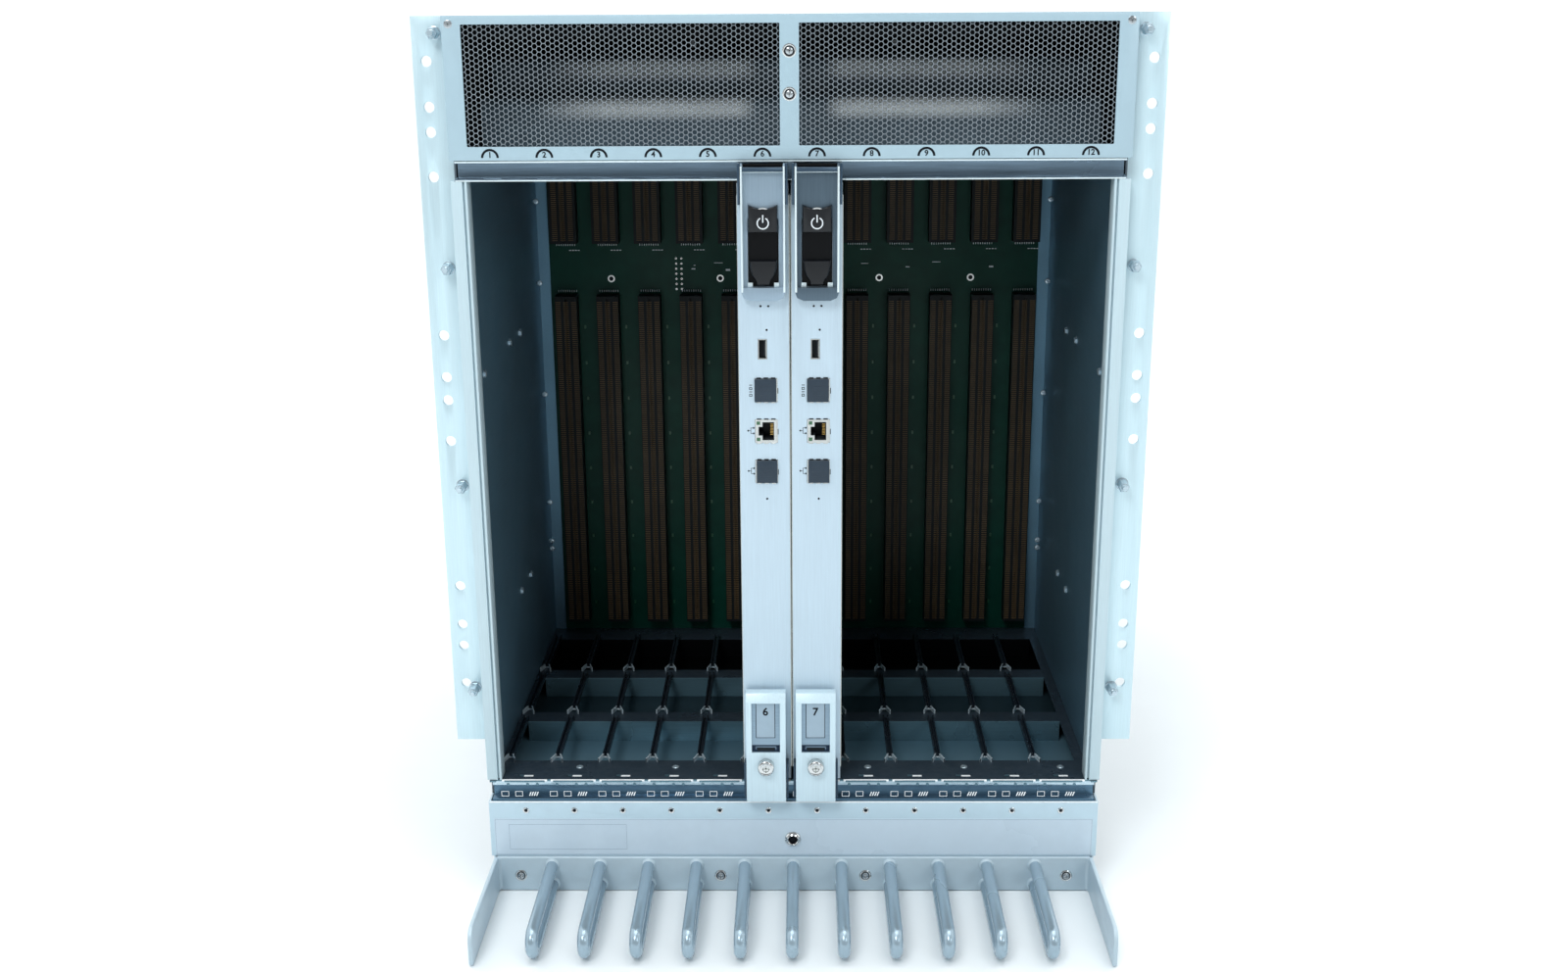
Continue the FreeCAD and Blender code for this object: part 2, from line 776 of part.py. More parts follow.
def ground_jack():
    """Wrist-strap socket: hexagon nut, sleeve and a round bore."""
    body = new_body()
    nut = new_sketch(body, "XZ", behind("0"))
    hexagon(nut, "0", "jack_z", "jack_flats")
    pad(body, nut, "jack_nut_depth", forward=False)
    sleeve = new_sketch(body, "XZ", behind("0"))
    polygon(sleeve, "0", "jack_z", "jack_sleeve_radius", HEAD_SIDES)
    pad(body, sleeve, "jack_sleeve_length")
    bore = new_sketch(body, "XZ", behind("-jack_nut_depth"))
    circle(bore, "0", "jack_z", "jack_bore_radius")
    pocket(body, bore, "jack_bore_depth")
    finish(body, "ground_jack")


# ---------------------------------------------------------------- card cage

def window_row(body, level, depth):
    """Open the sheet between its cross bars, once for each row of guides."""
    opening = new_sketch(body, "XY", level)
    rectangle(opening, ("-window_half_width", "window_half_width"),
              (behind("guide_start + guide_seat"),
               behind("guide_start + guide_length - guide_seat")))
    opened = pocket(body, opening, depth)
    repeat(body, [opened], ("Y", "guide_spacing", "guide_rows"))


def cage_floor():
    body = new_body()
    underside = "floor_top - floor_sheet"
    plate = new_sketch(body, "XY", underside)
    rectangle(plate, ("wall - chassis_width/2", "chassis_width/2 - wall"),
              (behind("0"), behind("midplane_front")))
    pad(body, plate, "floor_sheet")
    window_row(body, underside, "floor_sheet")
    slot = new_sketch(body, "XY", underside)
    centre = f"({slot_left(1)} + slot_pitch/2)"
    rectangle(slot, (f"{centre} - apron_slot_width/2", f"{centre} + apron_slot_width/2"),
              (behind("apron_slot_setback"), behind("apron_slot_setback + apron_slot_depth")))
    slotted = pocket(body, slot, "floor_sheet")
    repeat(body, [slotted], ("X", "slot_pitch", "slot_count"))
    notch = new_sketch(body, "XY", underside)
    edge = slot_left(1)
    rectangle(notch, (f"{edge} - edge_notch_width/2", f"{edge} + edge_notch_width/2"),
              (behind("0"), behind("edge_notch_depth")))
    notched = pocket(body, notch, "floor_sheet")
    repeat(body, [notched], ("X", "slot_pitch", "slot_count + 1"))
    fold = new_sketch(body, "XZ", behind("guide_start + guide_length - guide_seat"))
    rectangle(fold, ("-window_half_width", "window_half_width"), ("tray_top", "floor_top"))
    folded = pad(body, fold, "floor_sheet")
    repeat(body, [folded], ("Y", "guide_spacing", "guide_rows"))
    finish(body, "cage_floor")


def plenum_tray():
    body = new_body()
    drawing = new_sketch(body, "YZ")
    front, back = behind("return_depth"), behind("midplane_front")
    low, high = "tray_top - cage_sheet", "tray_top"
    outline(drawing, [
        (front, low), (back, low), (back, "floor_top - floor_sheet"),
        (f"{back} - cage_sheet", "floor_top - floor_sheet"), (f"{back} - cage_sheet", high),
        (front, high)])
    centred_pad(body, drawing, "chassis_width - 2*wall")
    finish(body, "plenum_tray")


def guide_profile(side_up, base):
    """Half-width pairs of a card guide's U section, opening up or down."""
    centre = in_slot(1, "guide_offset")
    outer, inner = "guide_width/2", "guide_groove/2"
    sign = "+" if side_up else "-"
    tip = f"{base} {sign} guide_height"
    bed = f"{base} {sign} guide_base"
    return [
        (f"{centre} - {outer}", base), (f"{centre} + {outer}", base),
        (f"{centre} + {outer}", tip), (f"{centre} + {inner}", tip),
        (f"{centre} + {inner}", bed), (f"{centre} - {inner}", bed),
        (f"{centre} - {inner}", tip), (f"{centre} - {outer}", tip)]


def lower_card_guides():
    """Three short guides in line under each slot, each with a flared mouth."""
    body = new_body()
    profile = new_sketch(body, "XZ", behind("guide_start + mouth_length"))
    outline(profile, guide_profile(True, "floor_top"))
    bar = pad(body, profile, "guide_length - mouth_length")
    mouth = new_sketch(body, "XY", "floor_top")
    centre = in_slot(1, "guide_offset")
    front, back = behind("guide_start"), behind("guide_start + mouth_length")
    for side in ("-", "+"):
        outline(mouth, [
            (f"{centre} {side} guide_groove/2", back), (f"{centre} {side} guide_width/2", back),
            (f"{centre} {side} mouth_width/2", front),
            (f"{centre} {side} (mouth_width/2 - mouth_wall)", front)])
    wings = pad(body, mouth, "guide_height")
    repeat(body, [bar, wings], ("X", "slot_pitch", "slot_count"),
           ("Y", "guide_spacing", "guide_rows"))
    finish(body, "lower_card_guides")


def cage_ceiling():
    body = new_body()
    underside = "cage_top + rail_sheet"
    plate = new_sketch(body, "XY", underside)
    rectangle(plate, ("wall - chassis_width/2", "chassis_width/2 - wall"),
              (behind("return_depth"), behind("midplane_front")))
    pad(body, plate, "floor_sheet")
    window_row(body, underside, "floor_sheet")
    finish(body, "cage_ceiling")


def upper_card_guides():
    """One long guide over each slot, under the ceiling's cross bars."""
    body = new_body()
    profile = new_sketch(body, "XZ", behind("guide_start"))
    outline(profile, guide_profile(False, "cage_top + rail_sheet"))
    bar = pad(body, profile, "(guide_rows - 1)*guide_spacing + guide_length")
    repeat(body, [bar], ("X", "slot_pitch", "slot_count"))
    finish(body, "upper_card_guides")


def midplane_board():
    board = box(("-cage_wall_x", "cage_wall_x"),
                (behind("midplane_front"), behind("midplane_front + midplane_thickness")),
                ("midplane_bottom", "midplane_top"))
    finish(board, "midplane_board")


def midplane_connectors(label, width, bottom, top):
    """One connector for each slot, with an open channel down its face."""
    body = new_body()
    centre = in_slot(1, "slot_pitch/2 + connector_shift")
    block = new_sketch(body, "XZ", behind("midplane_front - connector_depth"))
    rectangle(block, (f"{centre} - {width}/2", f"{centre} + {width}/2"), (bottom, top))
    shell = pad(body, block, "connector_depth")
    channel = new_sketch(body, "XZ", behind("midplane_front - connector_depth"))
    rectangle(channel, (f"{centre} - connector_channel/2", f"{centre} + connector_channel/2"),
              (f"{bottom} + connector_channel", f"{top} - connector_channel"))
    opened = pocket(body, channel, "connector_channel_depth")
    repeat(body, [shell, opened], ("X", "slot_pitch", "slot_count"))
    finish(body, label)


# ---------------------------------------------------------------- cable comb

def cable_comb():
    """Welded bracket with hairpin rod fingers between two end flanges."""
    body = new_body()
    plate = new_sketch(body, "XZ", behind("-comb_sheet"))
    top = "comb_bottom + comb_height"
    rectangle(plate, ("-comb_half_width", "comb_half_width"), ("comb_bottom", top))
    pad(body, plate, "comb_sheet")
    for side in (-1, 1):
        low, high = mirrored_span(side, "comb_half_width - comb_sheet", "comb_half_width")
        flange = new_sketch(body, "YZ", low)
        outline(flange, [
            (behind("0"), "comb_bottom"), (behind("0"), top),
            (behind("comb_bevel - comb_reach"), top),
            (behind("-comb_reach"), f"{top} - comb_bevel"), (behind("-comb_reach"), "comb_bottom")])
        pad(body, flange, "comb_sheet")
    finger = comb_finger(body)
    repeat(body, [finger], ("X", "slot_pitch", "slot_count - 1"))
    finish(body, "cable_comb")


def comb_finger(body):
    """Hairpin rod: out along the top, round the bend and back along the bottom."""
    level = slot_left(2)
    root = behind("-comb_sheet/2")
    bend = behind("finger_bend + finger_radius - comb_reach")
    points = [(root, "finger_z + finger_bend")]
    for step in range(FINGER_TURNS + 1):
        angle = 90 - 180*step/FINGER_TURNS
        points.append((f"{bend} - finger_bend*cos({angle})", f"finger_z + finger_bend*sin({angle})"))
    points.append((root, "finger_z - finger_bend"))
    path = new_sketch(body, "YZ", level)
    for first, second in zip(points, points[1:]):
        path.addGeometry(Part.LineSegment(
            FreeCAD.Vector(value(first[0]), value(first[1]), 0),
            FreeCAD.Vector(value(second[0]), value(second[1]), 0)), False)
    for index in range(len(points) - 2):
        path.addConstraint(Sketcher.Constraint("Coincident", index, 2, index + 1, 1))
    for index, (y, z) in enumerate(points):
        edge, end = (index, 1) if index < len(points) - 1 else (index - 1, 2)
        bound_constraint(path, "DistanceX", -1, 1, edge, end, y)
        bound_constraint(path, "DistanceY", -1, 1, edge, end, z)
    section = new_sketch(body, "XZ", root)
    polygon(section, level, "finger_z + finger_bend", "finger_radius", FINGER_SIDES)
    rod = body.newObject("PartDesign::AdditivePipe", "Finger")
    rod.Profile = section
    rod.Spine = path
    rod.Transition = "Right corner"
    document.recompute()
    return rod


# ---------------------------------------------------------------- rack ears and screws

def rack_ear(label, side):
    """Angle bracket with the rack's hole pattern in three groups of four."""
    body = new_body()
    drawing = new_sketch(body, "XY", "ear_bottom")
    front, inner = behind("ear_setback"), "chassis_width/2"
    outline(drawing, [(f"{side}*({x})", y) for x, y in (
        (inner, front), ("ear_outer", front), ("ear_outer", f"{front} + ear_sheet"),
        (f"{inner} + ear_sheet", f"{front} + ear_sheet"),
        (f"{inner} + ear_sheet", f"{front} + ear_flange_depth"),
        (inner, f"{front} + ear_flange_depth"))])
    pad(body, drawing, "chassis_height - ear_bottom")
    holes = new_sketch(body, "XZ", front)
    lowest = "rack_hole_top - (rack_groups - 1)*rack_group_units*rack_unit"
    for drop in ("0", "rack_hole_step", "rack_unit", "rack_unit + rack_hole_step"):
        circle(holes, f"{side}*rack_hole_x", f"{lowest} - ({drop})", "rack_hole_radius")
    drilled = pocket(body, holes, "ear_sheet")
    repeat(body, [drilled], ("Z", "rack_group_units*rack_unit", "rack_groups"))
    finish(body, label)


def ear_bolts():
    """Hexagon bolts that stand forward from both ears."""
    body = new_body()
    head = new_sketch(body, "XZ", behind("ear_setback"))
    for side in (-1, 1):
        hexagon(head, f"{side}*ear_bolt_x", "ear_bolt_bottom", "ear_bolt_flats")
    heads = pad(body, head, "ear_bolt_length", forward=False)
    repeat(body, [heads], ("Z", "ear_bolt_spacing", "ear_bolt_count"))
    finish(body, "ear_bolts")


def pan_head(body, x, z, seat):
    """Screw head seated on a face that looks forward."""
    rim = new_sketch(body, "XZ", seat)
    polygon(rim, x, z, "screw_head_radius", HEAD_SIDES)
    return pad(body, rim, "screw_head_height", forward=False)


def panel_screws():
    """Identical pan-head screws on the cable comb and on the bezel's centre bar."""
    body = new_body()
    seat = behind("-comb_sheet")
    for x in ("comb_screw_outer", "comb_screw_inner"):
        for side in (-1, 1):
            pan_head(body, f"{side}*{x}", "comb_screw_z", seat)
    for step in ("0", "bezel_screw_spacing"):
        pan_head(body, "0", f"bezel_screw_low + {step}", behind("0"))
    finish(body, "panel_screws")


# ---------------------------------------------------------------- blades

def blade_faceplate(slot):
    """Front plate, and on it the two brackets whose pins the levers turn on."""
    left, right = in_slot(slot, "plate_left"), in_slot(slot, "plate_right")
    face = box((left, right), (behind("0"), behind("panel_sheet")), ("plate_bottom", "plate_top"))
    fold = box((f"{right} - lever_sheet", right), (behind("0"), behind("plate_return")),
               ("plate_bottom", "plate_top"))
    holes = [
        box((in_slot(slot, "usb_left - cutout_gap"), in_slot(slot, "usb_right + cutout_gap")),
            (behind("0"), behind("panel_sheet")),
            ("usb_bottom - cutout_gap", "usb_top + cutout_gap")),
        bar("Y", (lower_lever_centre(slot), "thumbscrew_z"), "thumbscrew_hole",
            behind("0"), behind("panel_sheet"), sides=8)]
    for index in range(3):
        centre = socket_height(index)
        holes.append(box(
            (in_slot(slot, "socket_left - cutout_gap"), in_slot(slot, "socket_right + cutout_gap")),
            (behind("0"), behind("panel_sheet")),
            (f"{centre} - socket_height/2 - cutout_gap", f"{centre} + socket_height/2 + cutout_gap")))
    brackets = [
        lever_bracket(upper_lever_sides(slot), "upper_pin_z",
                      ("upper_pin_z - bracket_length", "upper_pin_z + bracket_end")),
        lever_bracket(lower_lever_sides(slot), "lower_pin_z",
                      ("lower_pin_z - bracket_end", "lower_pin_z + bracket_length"))]
    finish(group([cut(fuse([face, fold]), holes)] + brackets), f"blade_{slot}_faceplate")


def lever_bracket(sides, pin_z, span):
    """Two tabs beside a lever, with its pivot pin riveted between them."""
    low, high = sides
    tabs = [box(x, (behind("-ear_reach"), behind("0")), span)
            for x in ((f"{low} - fit_gap - ear_tab", f"{low} - fit_gap"),
                      (f"{high} + fit_gap", f"{high} + fit_gap + ear_tab"))]
    pin = bar("X", (behind("-pin_reach"), pin_z), "pin_radius",
              f"{low} - fit_gap", f"{high} + fit_gap")
    return fuse(tabs + [pin])


def blade_gasket(slot):
    """Spring-finger strips that close the seams beside the faceplate."""
    depth = (behind("gasket_setback"), behind("gasket_setback + gasket_depth"))
    length = ("plate_bottom + gasket_end", "plate_top - gasket_end")
    carrier = carrier_sides(slot)
    strips = [
        box((f"{carrier[0]} - gasket", carrier[0]), depth, length),
        box((in_slot(slot, "plate_right"), in_slot(slot, "plate_right + gasket")), depth, length)]
    finish(group(strips), f"blade_{slot}_emi_gasket")


def carrier_sides(slot):
    centre = in_slot(slot, "guide_offset")
    return (f"({centre} - carrier_sheet/2)", f"({centre} + carrier_sheet/2)")


def blade_carrier(slot):
    """Sheet that runs in the card guides and carries the circuit board."""
    left, right = carrier_sides(slot)
    plate = box((left, right), (behind("panel_sheet"), behind("carrier_length")),
                ("carrier_bottom", "carrier_top"))
    posts = []
    for y in ("board_front + 12", "board_front + board_length - 60"):
        for z in ("board_bottom + 12", "board_top - 12"):
            posts.append(bar("X", (behind(y), z), "standoff_radius",
                             right, in_slot(slot, "board_left"), sides=6))
    finish(fuse([plate] + posts), f"blade_{slot}_carrier_tray")


def blade_board(slot):
    """Circuit board with two finned heat sinks and the connectors at its back edge."""
    left, right = in_slot(slot, "board_left"), in_slot(slot, "board_left + board_sheet")
    board = box((left, right), (behind("board_front"), behind("board_front + board_length")),
                ("board_bottom", "board_top"))
    solids = [board]
    for base_y, base_z in (("board_front + 90", "board_bottom + 60"),
                           ("board_front + 100", "board_bottom + 230")):
        y = (behind(base_y), behind(f"{base_y} + sink_width"))
        solids.append(box((right, f"{right} + 3"), y, (base_z, f"{base_z} + sink_width")))
        for index in range(int(value("sink_fins"))):
            low = f"{base_z} + {index}*(sink_width - sink_fin)/(sink_fins - 1)"
            solids.append(box((right, f"{right} + sink_depth"), y, (low, f"{low} + sink_fin")))
    centre = in_slot(slot, "slot_pitch/2 + connector_shift")
    back = behind("midplane_front - connector_depth - fit_gap")
    for bottom, top in (("lower_connector_bottom", "lower_connector_top"),
                        ("upper_connector_bottom", "upper_connector_top")):
        solids.append(box(
            (left, f"{centre} + lower_connector_width/2"), (f"{back} - mate_length", back),
            (f"{bottom} + connector_channel", f"{top} - connector_channel")))
    finish(fuse(solids), f"blade_{slot}_circuit_board")


def socket_height(index):
    return f"(socket_top_z - {index}*socket_spacing)"


def blade_sockets(slot):
    """Three network sockets and one upright USB socket."""
    solids = []
    for index in range(3):
        centre = socket_height(index)
        shell = box((in_slot(slot, "socket_left"), in_slot(slot, "socket_right")),
                    (behind("0"), behind("socket_depth")),
                    (f"{centre} - socket_height/2", f"{centre} + socket_height/2"))
        plug = box((in_slot(slot, "plug_left"), in_slot(slot, "plug_right")),
                   (behind("0"), behind("plug_depth")),
                   (f"{centre} - plug_height/2", f"{centre} + plug_height/2"))
        latch = box((in_slot(slot, "latch_left"), in_slot(slot, "plug_left")),
                    (behind("0"), behind("plug_depth")),
                    (f"{centre} - latch_height/2", f"{centre} + latch_height/2"))
        solids.append(cut(shell, [plug, latch]))
    usb = box((in_slot(slot, "usb_left"), in_slot(slot, "usb_right")),
              (behind("0"), behind("usb_depth")), ("usb_bottom", "usb_top"))
    foot = box((in_slot(slot, "board_left + board_sheet"), in_slot(slot, "usb_left")),
               (behind("board_front"), behind("usb_depth")), ("usb_bottom", "usb_top"))
    mouth = box((in_slot(slot, "usb_left + usb_wall"), in_slot(slot, "usb_right - usb_wall")),
                (behind("0"), behind("usb_depth - usb_wall")),
                ("usb_bottom + usb_wall", "usb_top - usb_wall"))
    tongue = box((in_slot(slot, "usb_right - 1.5*usb_wall - usb_tongue"),
                  in_slot(slot, "usb_right - 1.5*usb_wall")),
                 (behind("2*usb_wall"), behind("usb_depth - usb_wall")),
                 ("usb_bottom + 3*usb_wall", "usb_top - 3*usb_wall"))
    solids.append(fuse([cut(fuse([usb, foot]), [mouth]), tongue]))
    finish(group(solids), f"blade_{slot}_port_sockets")


def blade_dust_caps(slot):
    """Push-in caps on the upper and lower network sockets."""
    caps = []
    for index in (0, 2):
        centre = socket_height(index)
        half = "(socket_height/2 - cutout_gap)"
        plate = box((in_slot(slot, "socket_left"), in_slot(slot, "socket_right")),
                    (behind("-cap_plate"), behind("0")), (f"{centre} - {half}", f"{centre} + {half}"))
        stem = box((in_slot(slot, "plug_left + cap_gap"), in_slot(slot, "plug_right - cap_gap")),
                   (behind("-cap_plate"), behind("cap_plug_depth")),
                   (f"{centre} - plug_height/2 + cap_gap", f"{centre} + plug_height/2 - cap_gap"))
        caps.append(fuse([plate, stem]))
    finish(group(caps), f"blade_{slot}_dust_caps")


def upper_lever_sides(slot):
    centre = in_slot(slot, "slot_pitch/2")
    return (f"({centre} - upper_lever_width/2)", f"({centre} + upper_lever_width/2)")


def lower_lever_sides(slot):
    left = in_slot(slot, "lower_lever_left")
    return (left, f"({left} + lower_lever_width)")


def lower_lever_centre(slot):
    return in_slot(slot, "lower_lever_left + lower_lever_width/2")


def blade_upper_lever(slot):
    """Channel-shaped ejector lever with a window for the power slider."""
    body = new_body()
    left, right = upper_lever_sides(slot)
    centre = in_slot(slot, "slot_pitch/2")
    web = new_sketch(body, "XZ", behind("-upper_web_back"))
    low, high = "upper_lever_bottom", "upper_lever_top"
    outline(web, [
        (f"{left} + upper_corner", low), (f"{right} - upper_corner", low),
        (f"{right} - upper_corner/4", f"{low} + upper_corner/3"),
        (right, f"{low} + upper_corner"), (right, high), (left, high),
        (left, f"{low} + upper_corner"), (f"{left} + upper_corner/4", f"{low} + upper_corner/3")])
    pad(body, web, "lever_sheet", forward=False)
    lip = new_sketch(body, "XZ", behind("-upper_web_back"))
    outline(lip, [
        (f"{left} + upper_corner", low), (f"{right} - upper_corner", low),
        (f"{right} - upper_corner/4", f"{low} + upper_corner/3"),
        (right, f"{low} + upper_corner"), (right, f"{low} + upper_lip_height"),
        (left, f"{low} + upper_lip_height"),
        (left, f"{low} + upper_corner"), (f"{left} + upper_corner/4", f"{low} + upper_corner/3")])
    pad(body, lip, "upper_lip_front - upper_web_back", forward=False)
    for x in (left, f"{right} - lever_sheet"):
        flange = new_sketch(body, "YZ", x)
        outline(flange, [
            (behind("-upper_web_back"), f"{low} + upper_corner"),
            (behind("-upper_lip_front"), f"{low} + upper_corner"),
            (behind("-upper_flange_front"), f"{low} + 3*upper_corner"),
            (behind("-upper_flange_front"), "upper_pin_z + 2"),
            (behind("-pin_reach"), "upper_pin_z + 4"),
            (behind("-upper_web_back"), high)])
        pad(body, flange, "lever_sheet")
    tongue = new_sketch(body, "XY", f"{high} - lever_sheet")
    rectangle(tongue, (f"{centre} - tongue_width/2", f"{centre} + tongue_width/2"),
              (behind("-upper_web_back - lever_sheet"), behind("upper_tongue_end")))
    pad(body, tongue, "lever_sheet")
    window = new_sketch(body, "XZ", behind("-upper_web_back"))
    rectangle(window, (f"{left} + window_side", f"{right} - window_side"),
              (f"{low} + upper_lip_height", "lever_window_top"))
    pocket(body, window, "lever_sheet", forward=False)
    bore = new_sketch(body, "YZ", left)
    polygon(bore, behind("-pin_reach"), "upper_pin_z",
            "pin_radius + pin_running_gap", HEAD_SIDES)
    pocket(body, bore, "upper_lever_width")
    finish(body, f"blade_{slot}_upper_lever")


def blade_power_slider(slot):
    """Moulded slider: a domed cap over the lever's web and a grip in its window."""
    centre = in_slot(slot, "slot_pitch/2")
    side = new_body()
    profile = new_sketch(side, "YZ", f"{centre} - slider_half_width")
    outline(profile, [(behind(y), z) for y, z in (
        ("-1", "slider_bottom"), ("-3.4", "slider_bottom"), ("-5.6", "slider_bottom + 14"),
        ("-5.6", "slider_bottom + 19"), ("-2.6", "slider_bottom + 21"),
        ("-2.6", "slider_step - 2"), ("-6.6", "slider_step"), ("-7", "slider_step + 7"),
        ("-6.4", "slider_step + 13"), ("-4.2", "slider_top"), ("-3.3", "slider_top"),
        ("-3.3", "slider_step"), ("-1", "slider_step"))])
    pad(side, profile, "2*slider_half_width")
    front = new_body()
    face = new_sketch(front, "XZ", behind("-8"))
    half = [
        ("slider_foot_half_width", "slider_bottom"),
        ("slider_half_width", "slider_bottom + 15"),
        ("slider_half_width", "slider_step"),
        ("slider_cap_half_width", "slider_step + 1"),
        ("slider_cap_half_width", "slider_top"),
        ("slider_cap_half_width - 2.4", "slider_top - 2.6")]
    right_half = [(f"{centre} + {x}", z) for x, z in half]
    left_half = [(f"{centre} - ({x})", z) for x, z in half]
    outline(face, right_half + left_half[::-1])
    pad(front, face, "8")
    slider = document.addObject("Part::Common", "Slider")
    slider.Base = side
    slider.Tool = front
    finish(slider, f"blade_{slot}_power_slider")


def blade_lower_lever(slot):
    """Hollow ejector lever with a sloping top, a finger recess and a rounded heel."""
    body = new_body()
    left, right = lower_lever_sides(slot)
    centre = lower_lever_centre(slot)
    low, high = "lower_lever_bottom", "lower_lever_top"
    front, back = behind("-lower_lever_front"), behind("-lower_lever_back")
    heel = "(pin_reach - lower_lever_back)"
    side = new_sketch(body, "YZ", left)
    outline(side, [
        (front, low), (front, f"{high} - lower_lever_slope"),
        (f"{front} + lower_lever_slope/2", high), (f"{back} - lower_lever_slope/3", high),
        (back, f"{high} - lower_lever_slope"), (back, "lower_pin_z"),
        (behind(f"{heel}*0.707 - pin_reach"), f"lower_pin_z - {heel}*0.707"),
        (behind("-pin_reach"), low)])
    pad(body, side, "lower_lever_width")
    inside = (f"{left} + lever_sheet", f"{right} - lever_sheet")
    wall_line = "lower_lever_front - lower_lever_back - lever_sheet"
    hollow = new_sketch(body, "XZ", back)
    rectangle(hollow, inside, (f"{low} + lever_sheet", "recess_bottom - 2*lever_sheet"))
    pocket(body, hollow, wall_line, forward=False)
    shallow = new_sketch(body, "XZ", back)
    rectangle(shallow, inside,
              ("recess_bottom - 3*lever_sheet", f"{high} - lower_lever_slope/2 - 2*lever_sheet"))
    pocket(body, shallow, f"{wall_line} - recess_depth", forward=False)
    recess = new_sketch(body, "XZ", front)
    rectangle(recess, (f"{left} + recess_side", f"{right} - recess_side"),
              ("recess_bottom", "recess_top"))
    pocket(body, recess, "recess_depth")
    tongue = new_sketch(body, "XY", low)
    rectangle(tongue, (f"{centre} - tongue_width/2", f"{centre} + tongue_width/2"),
              (front, behind("lower_tongue_end")))
    pad(body, tongue, "lever_sheet")
    bore = new_sketch(body, "YZ", left)
    polygon(bore, behind("-pin_reach"), "lower_pin_z",
            "pin_radius + pin_running_gap", HEAD_SIDES)
    pocket(body, bore, "lower_lever_width")
    screw_hole = new_sketch(body, "XZ", front)
    polygon(screw_hole, centre, "thumbscrew_z",
            "thumbscrew_shank + pin_running_gap", HEAD_SIDES)
    pocket(body, screw_hole, "lever_sheet")
    finish(body, f"blade_{slot}_lower_lever")


def blade_thumbscrew(slot):
    """Captive screw with a fluted head; its tip waits just outside the faceplate."""
    body = new_body()
    centre = lower_lever_centre(slot)
    seat = behind("-lower_lever_front - fit_gap")
    head = new_sketch(body, "XZ", seat)
    polygon(head, centre, "thumbscrew_z", "thumbscrew_radius", HEAD_SIDES)
    pad(body, head, "thumbscrew_length - thumbscrew_chamfer", forward=False)
    face = new_sketch(body, "XZ", f"{seat} - (thumbscrew_length - thumbscrew_chamfer)")
    polygon(face, centre, "thumbscrew_z", "thumbscrew_radius - thumbscrew_chamfer", HEAD_SIDES)
    pad(body, face, "thumbscrew_chamfer", forward=False)
    shank = new_sketch(body, "XZ", seat)
    circle(shank, centre, "thumbscrew_z", "thumbscrew_shank")
    pad(body, shank, "lower_lever_front + fit_gap - thumbscrew_tip")
    finish(body, f"blade_{slot}_thumbscrew")


def blade(slot):
    blade_faceplate(slot)
    blade_gasket(slot)
    blade_carrier(slot)
    blade_board(slot)
    blade_sockets(slot)
    blade_dust_caps(slot)
    blade_upper_lever(slot)
    blade_power_slider(slot)
    blade_lower_lever(slot)
    blade_thumbscrew(slot)


# ---------------------------------------------------------------- rear modules

def rear_bay():
    """Rear frame with a window for each module, and the shelf between the rows."""
    plate = ("chassis_depth/2 - 3*wall", "chassis_depth/2 - 2*wall")
    inner = "chassis_width/2 - wall"
    face = box((f"-({inner})", inner), plate, ("wall", "chassis_height - wall"))
    shelf = box((f"-({inner})", inner),
                (behind("midplane_front + midplane_thickness"), plate[0]),
                ("shelf_top - wall", "shelf_top"))
    windows = []
    for index in range(int(value("supply_count"))):
        centre = module_centre(index, "supply")
        windows.append(box((f"{centre} - supply_width/2 - fit_gap", f"{centre} + supply_width/2 + fit_gap"),
                           plate, ("wall", "supply_top + fit_gap")))
    for index in range(int(value("blower_count"))):
        centre = module_centre(index, "blower")
        windows.append(box((f"{centre} - blower_width/2 - fit_gap", f"{centre} + blower_width/2 + fit_gap"),
                           plate, ("shelf_top", "blower_top + fit_gap")))
    finish(cut(fuse([face, shelf]), windows), "rear_bay")


def module_centre(index, kind):
    return f"(({index} - ({kind}_count - 1)/2)*{kind}_pitch)"


def handle_parts(centre, z, back):
    """Upright pull handle standing out from a module's rear face."""
    half = "handle_span/2"
    grip = box((f"{centre} - handle_bar/2", f"{centre} + handle_bar/2"),
               (f"{back} + handle_reach - handle_bar", f"{back} + handle_reach"),
               (f"{z} - {half}", f"{z} + {half}"))
    feet = [box((f"{centre} - handle_bar/2", f"{centre} + handle_bar/2"),
                (back, f"{back} + handle_reach"), span)
            for span in ((f"{z} - {half}", f"{z} - {half} + handle_bar"),
                         (f"{z} + {half} - handle_bar", f"{z} + {half}"))]
    return [grip] + feet


def blower(index):
    """Sheet housing, open towards the cards, with exhaust slots and an axle."""
    centre = module_centre(index, "blower")
    back = "chassis_depth/2"
    front = f"{back} - blower_depth"
    half = "blower_width/2"
    shell = box((f"{centre} - {half}", f"{centre} + {half}"), (front, back),
                ("blower_bottom", "blower_top"))
    cavity = box((f"{centre} - {half} + blower_sheet", f"{centre} + {half} - blower_sheet"),
                 (front, f"{back} - blower_sheet"),
                 ("blower_bottom + blower_sheet", "blower_top - blower_sheet"))
    slots = []
    for row in range(EXHAUST_SLOTS):
        middle = f"(intake_z + {row - (EXHAUST_SLOTS - 1)/2}*exhaust_pitch)"
        slots.append(box((f"{centre} - exhaust_width/2", f"{centre} + exhaust_width/2"),
                         (f"{back} - blower_sheet", back),
                         (f"{middle} - exhaust_slot/2", f"{middle} + exhaust_slot/2")))
    axle = bar("Y", (centre, "intake_z"), "axle_radius", f"{back} - axle_length", back)
    handle = handle_parts(centre, "blower_top - handle_span", back)
    finish(fuse([cut(shell, [cavity] + slots), axle] + handle), f"blower_{index + 1}_housing")


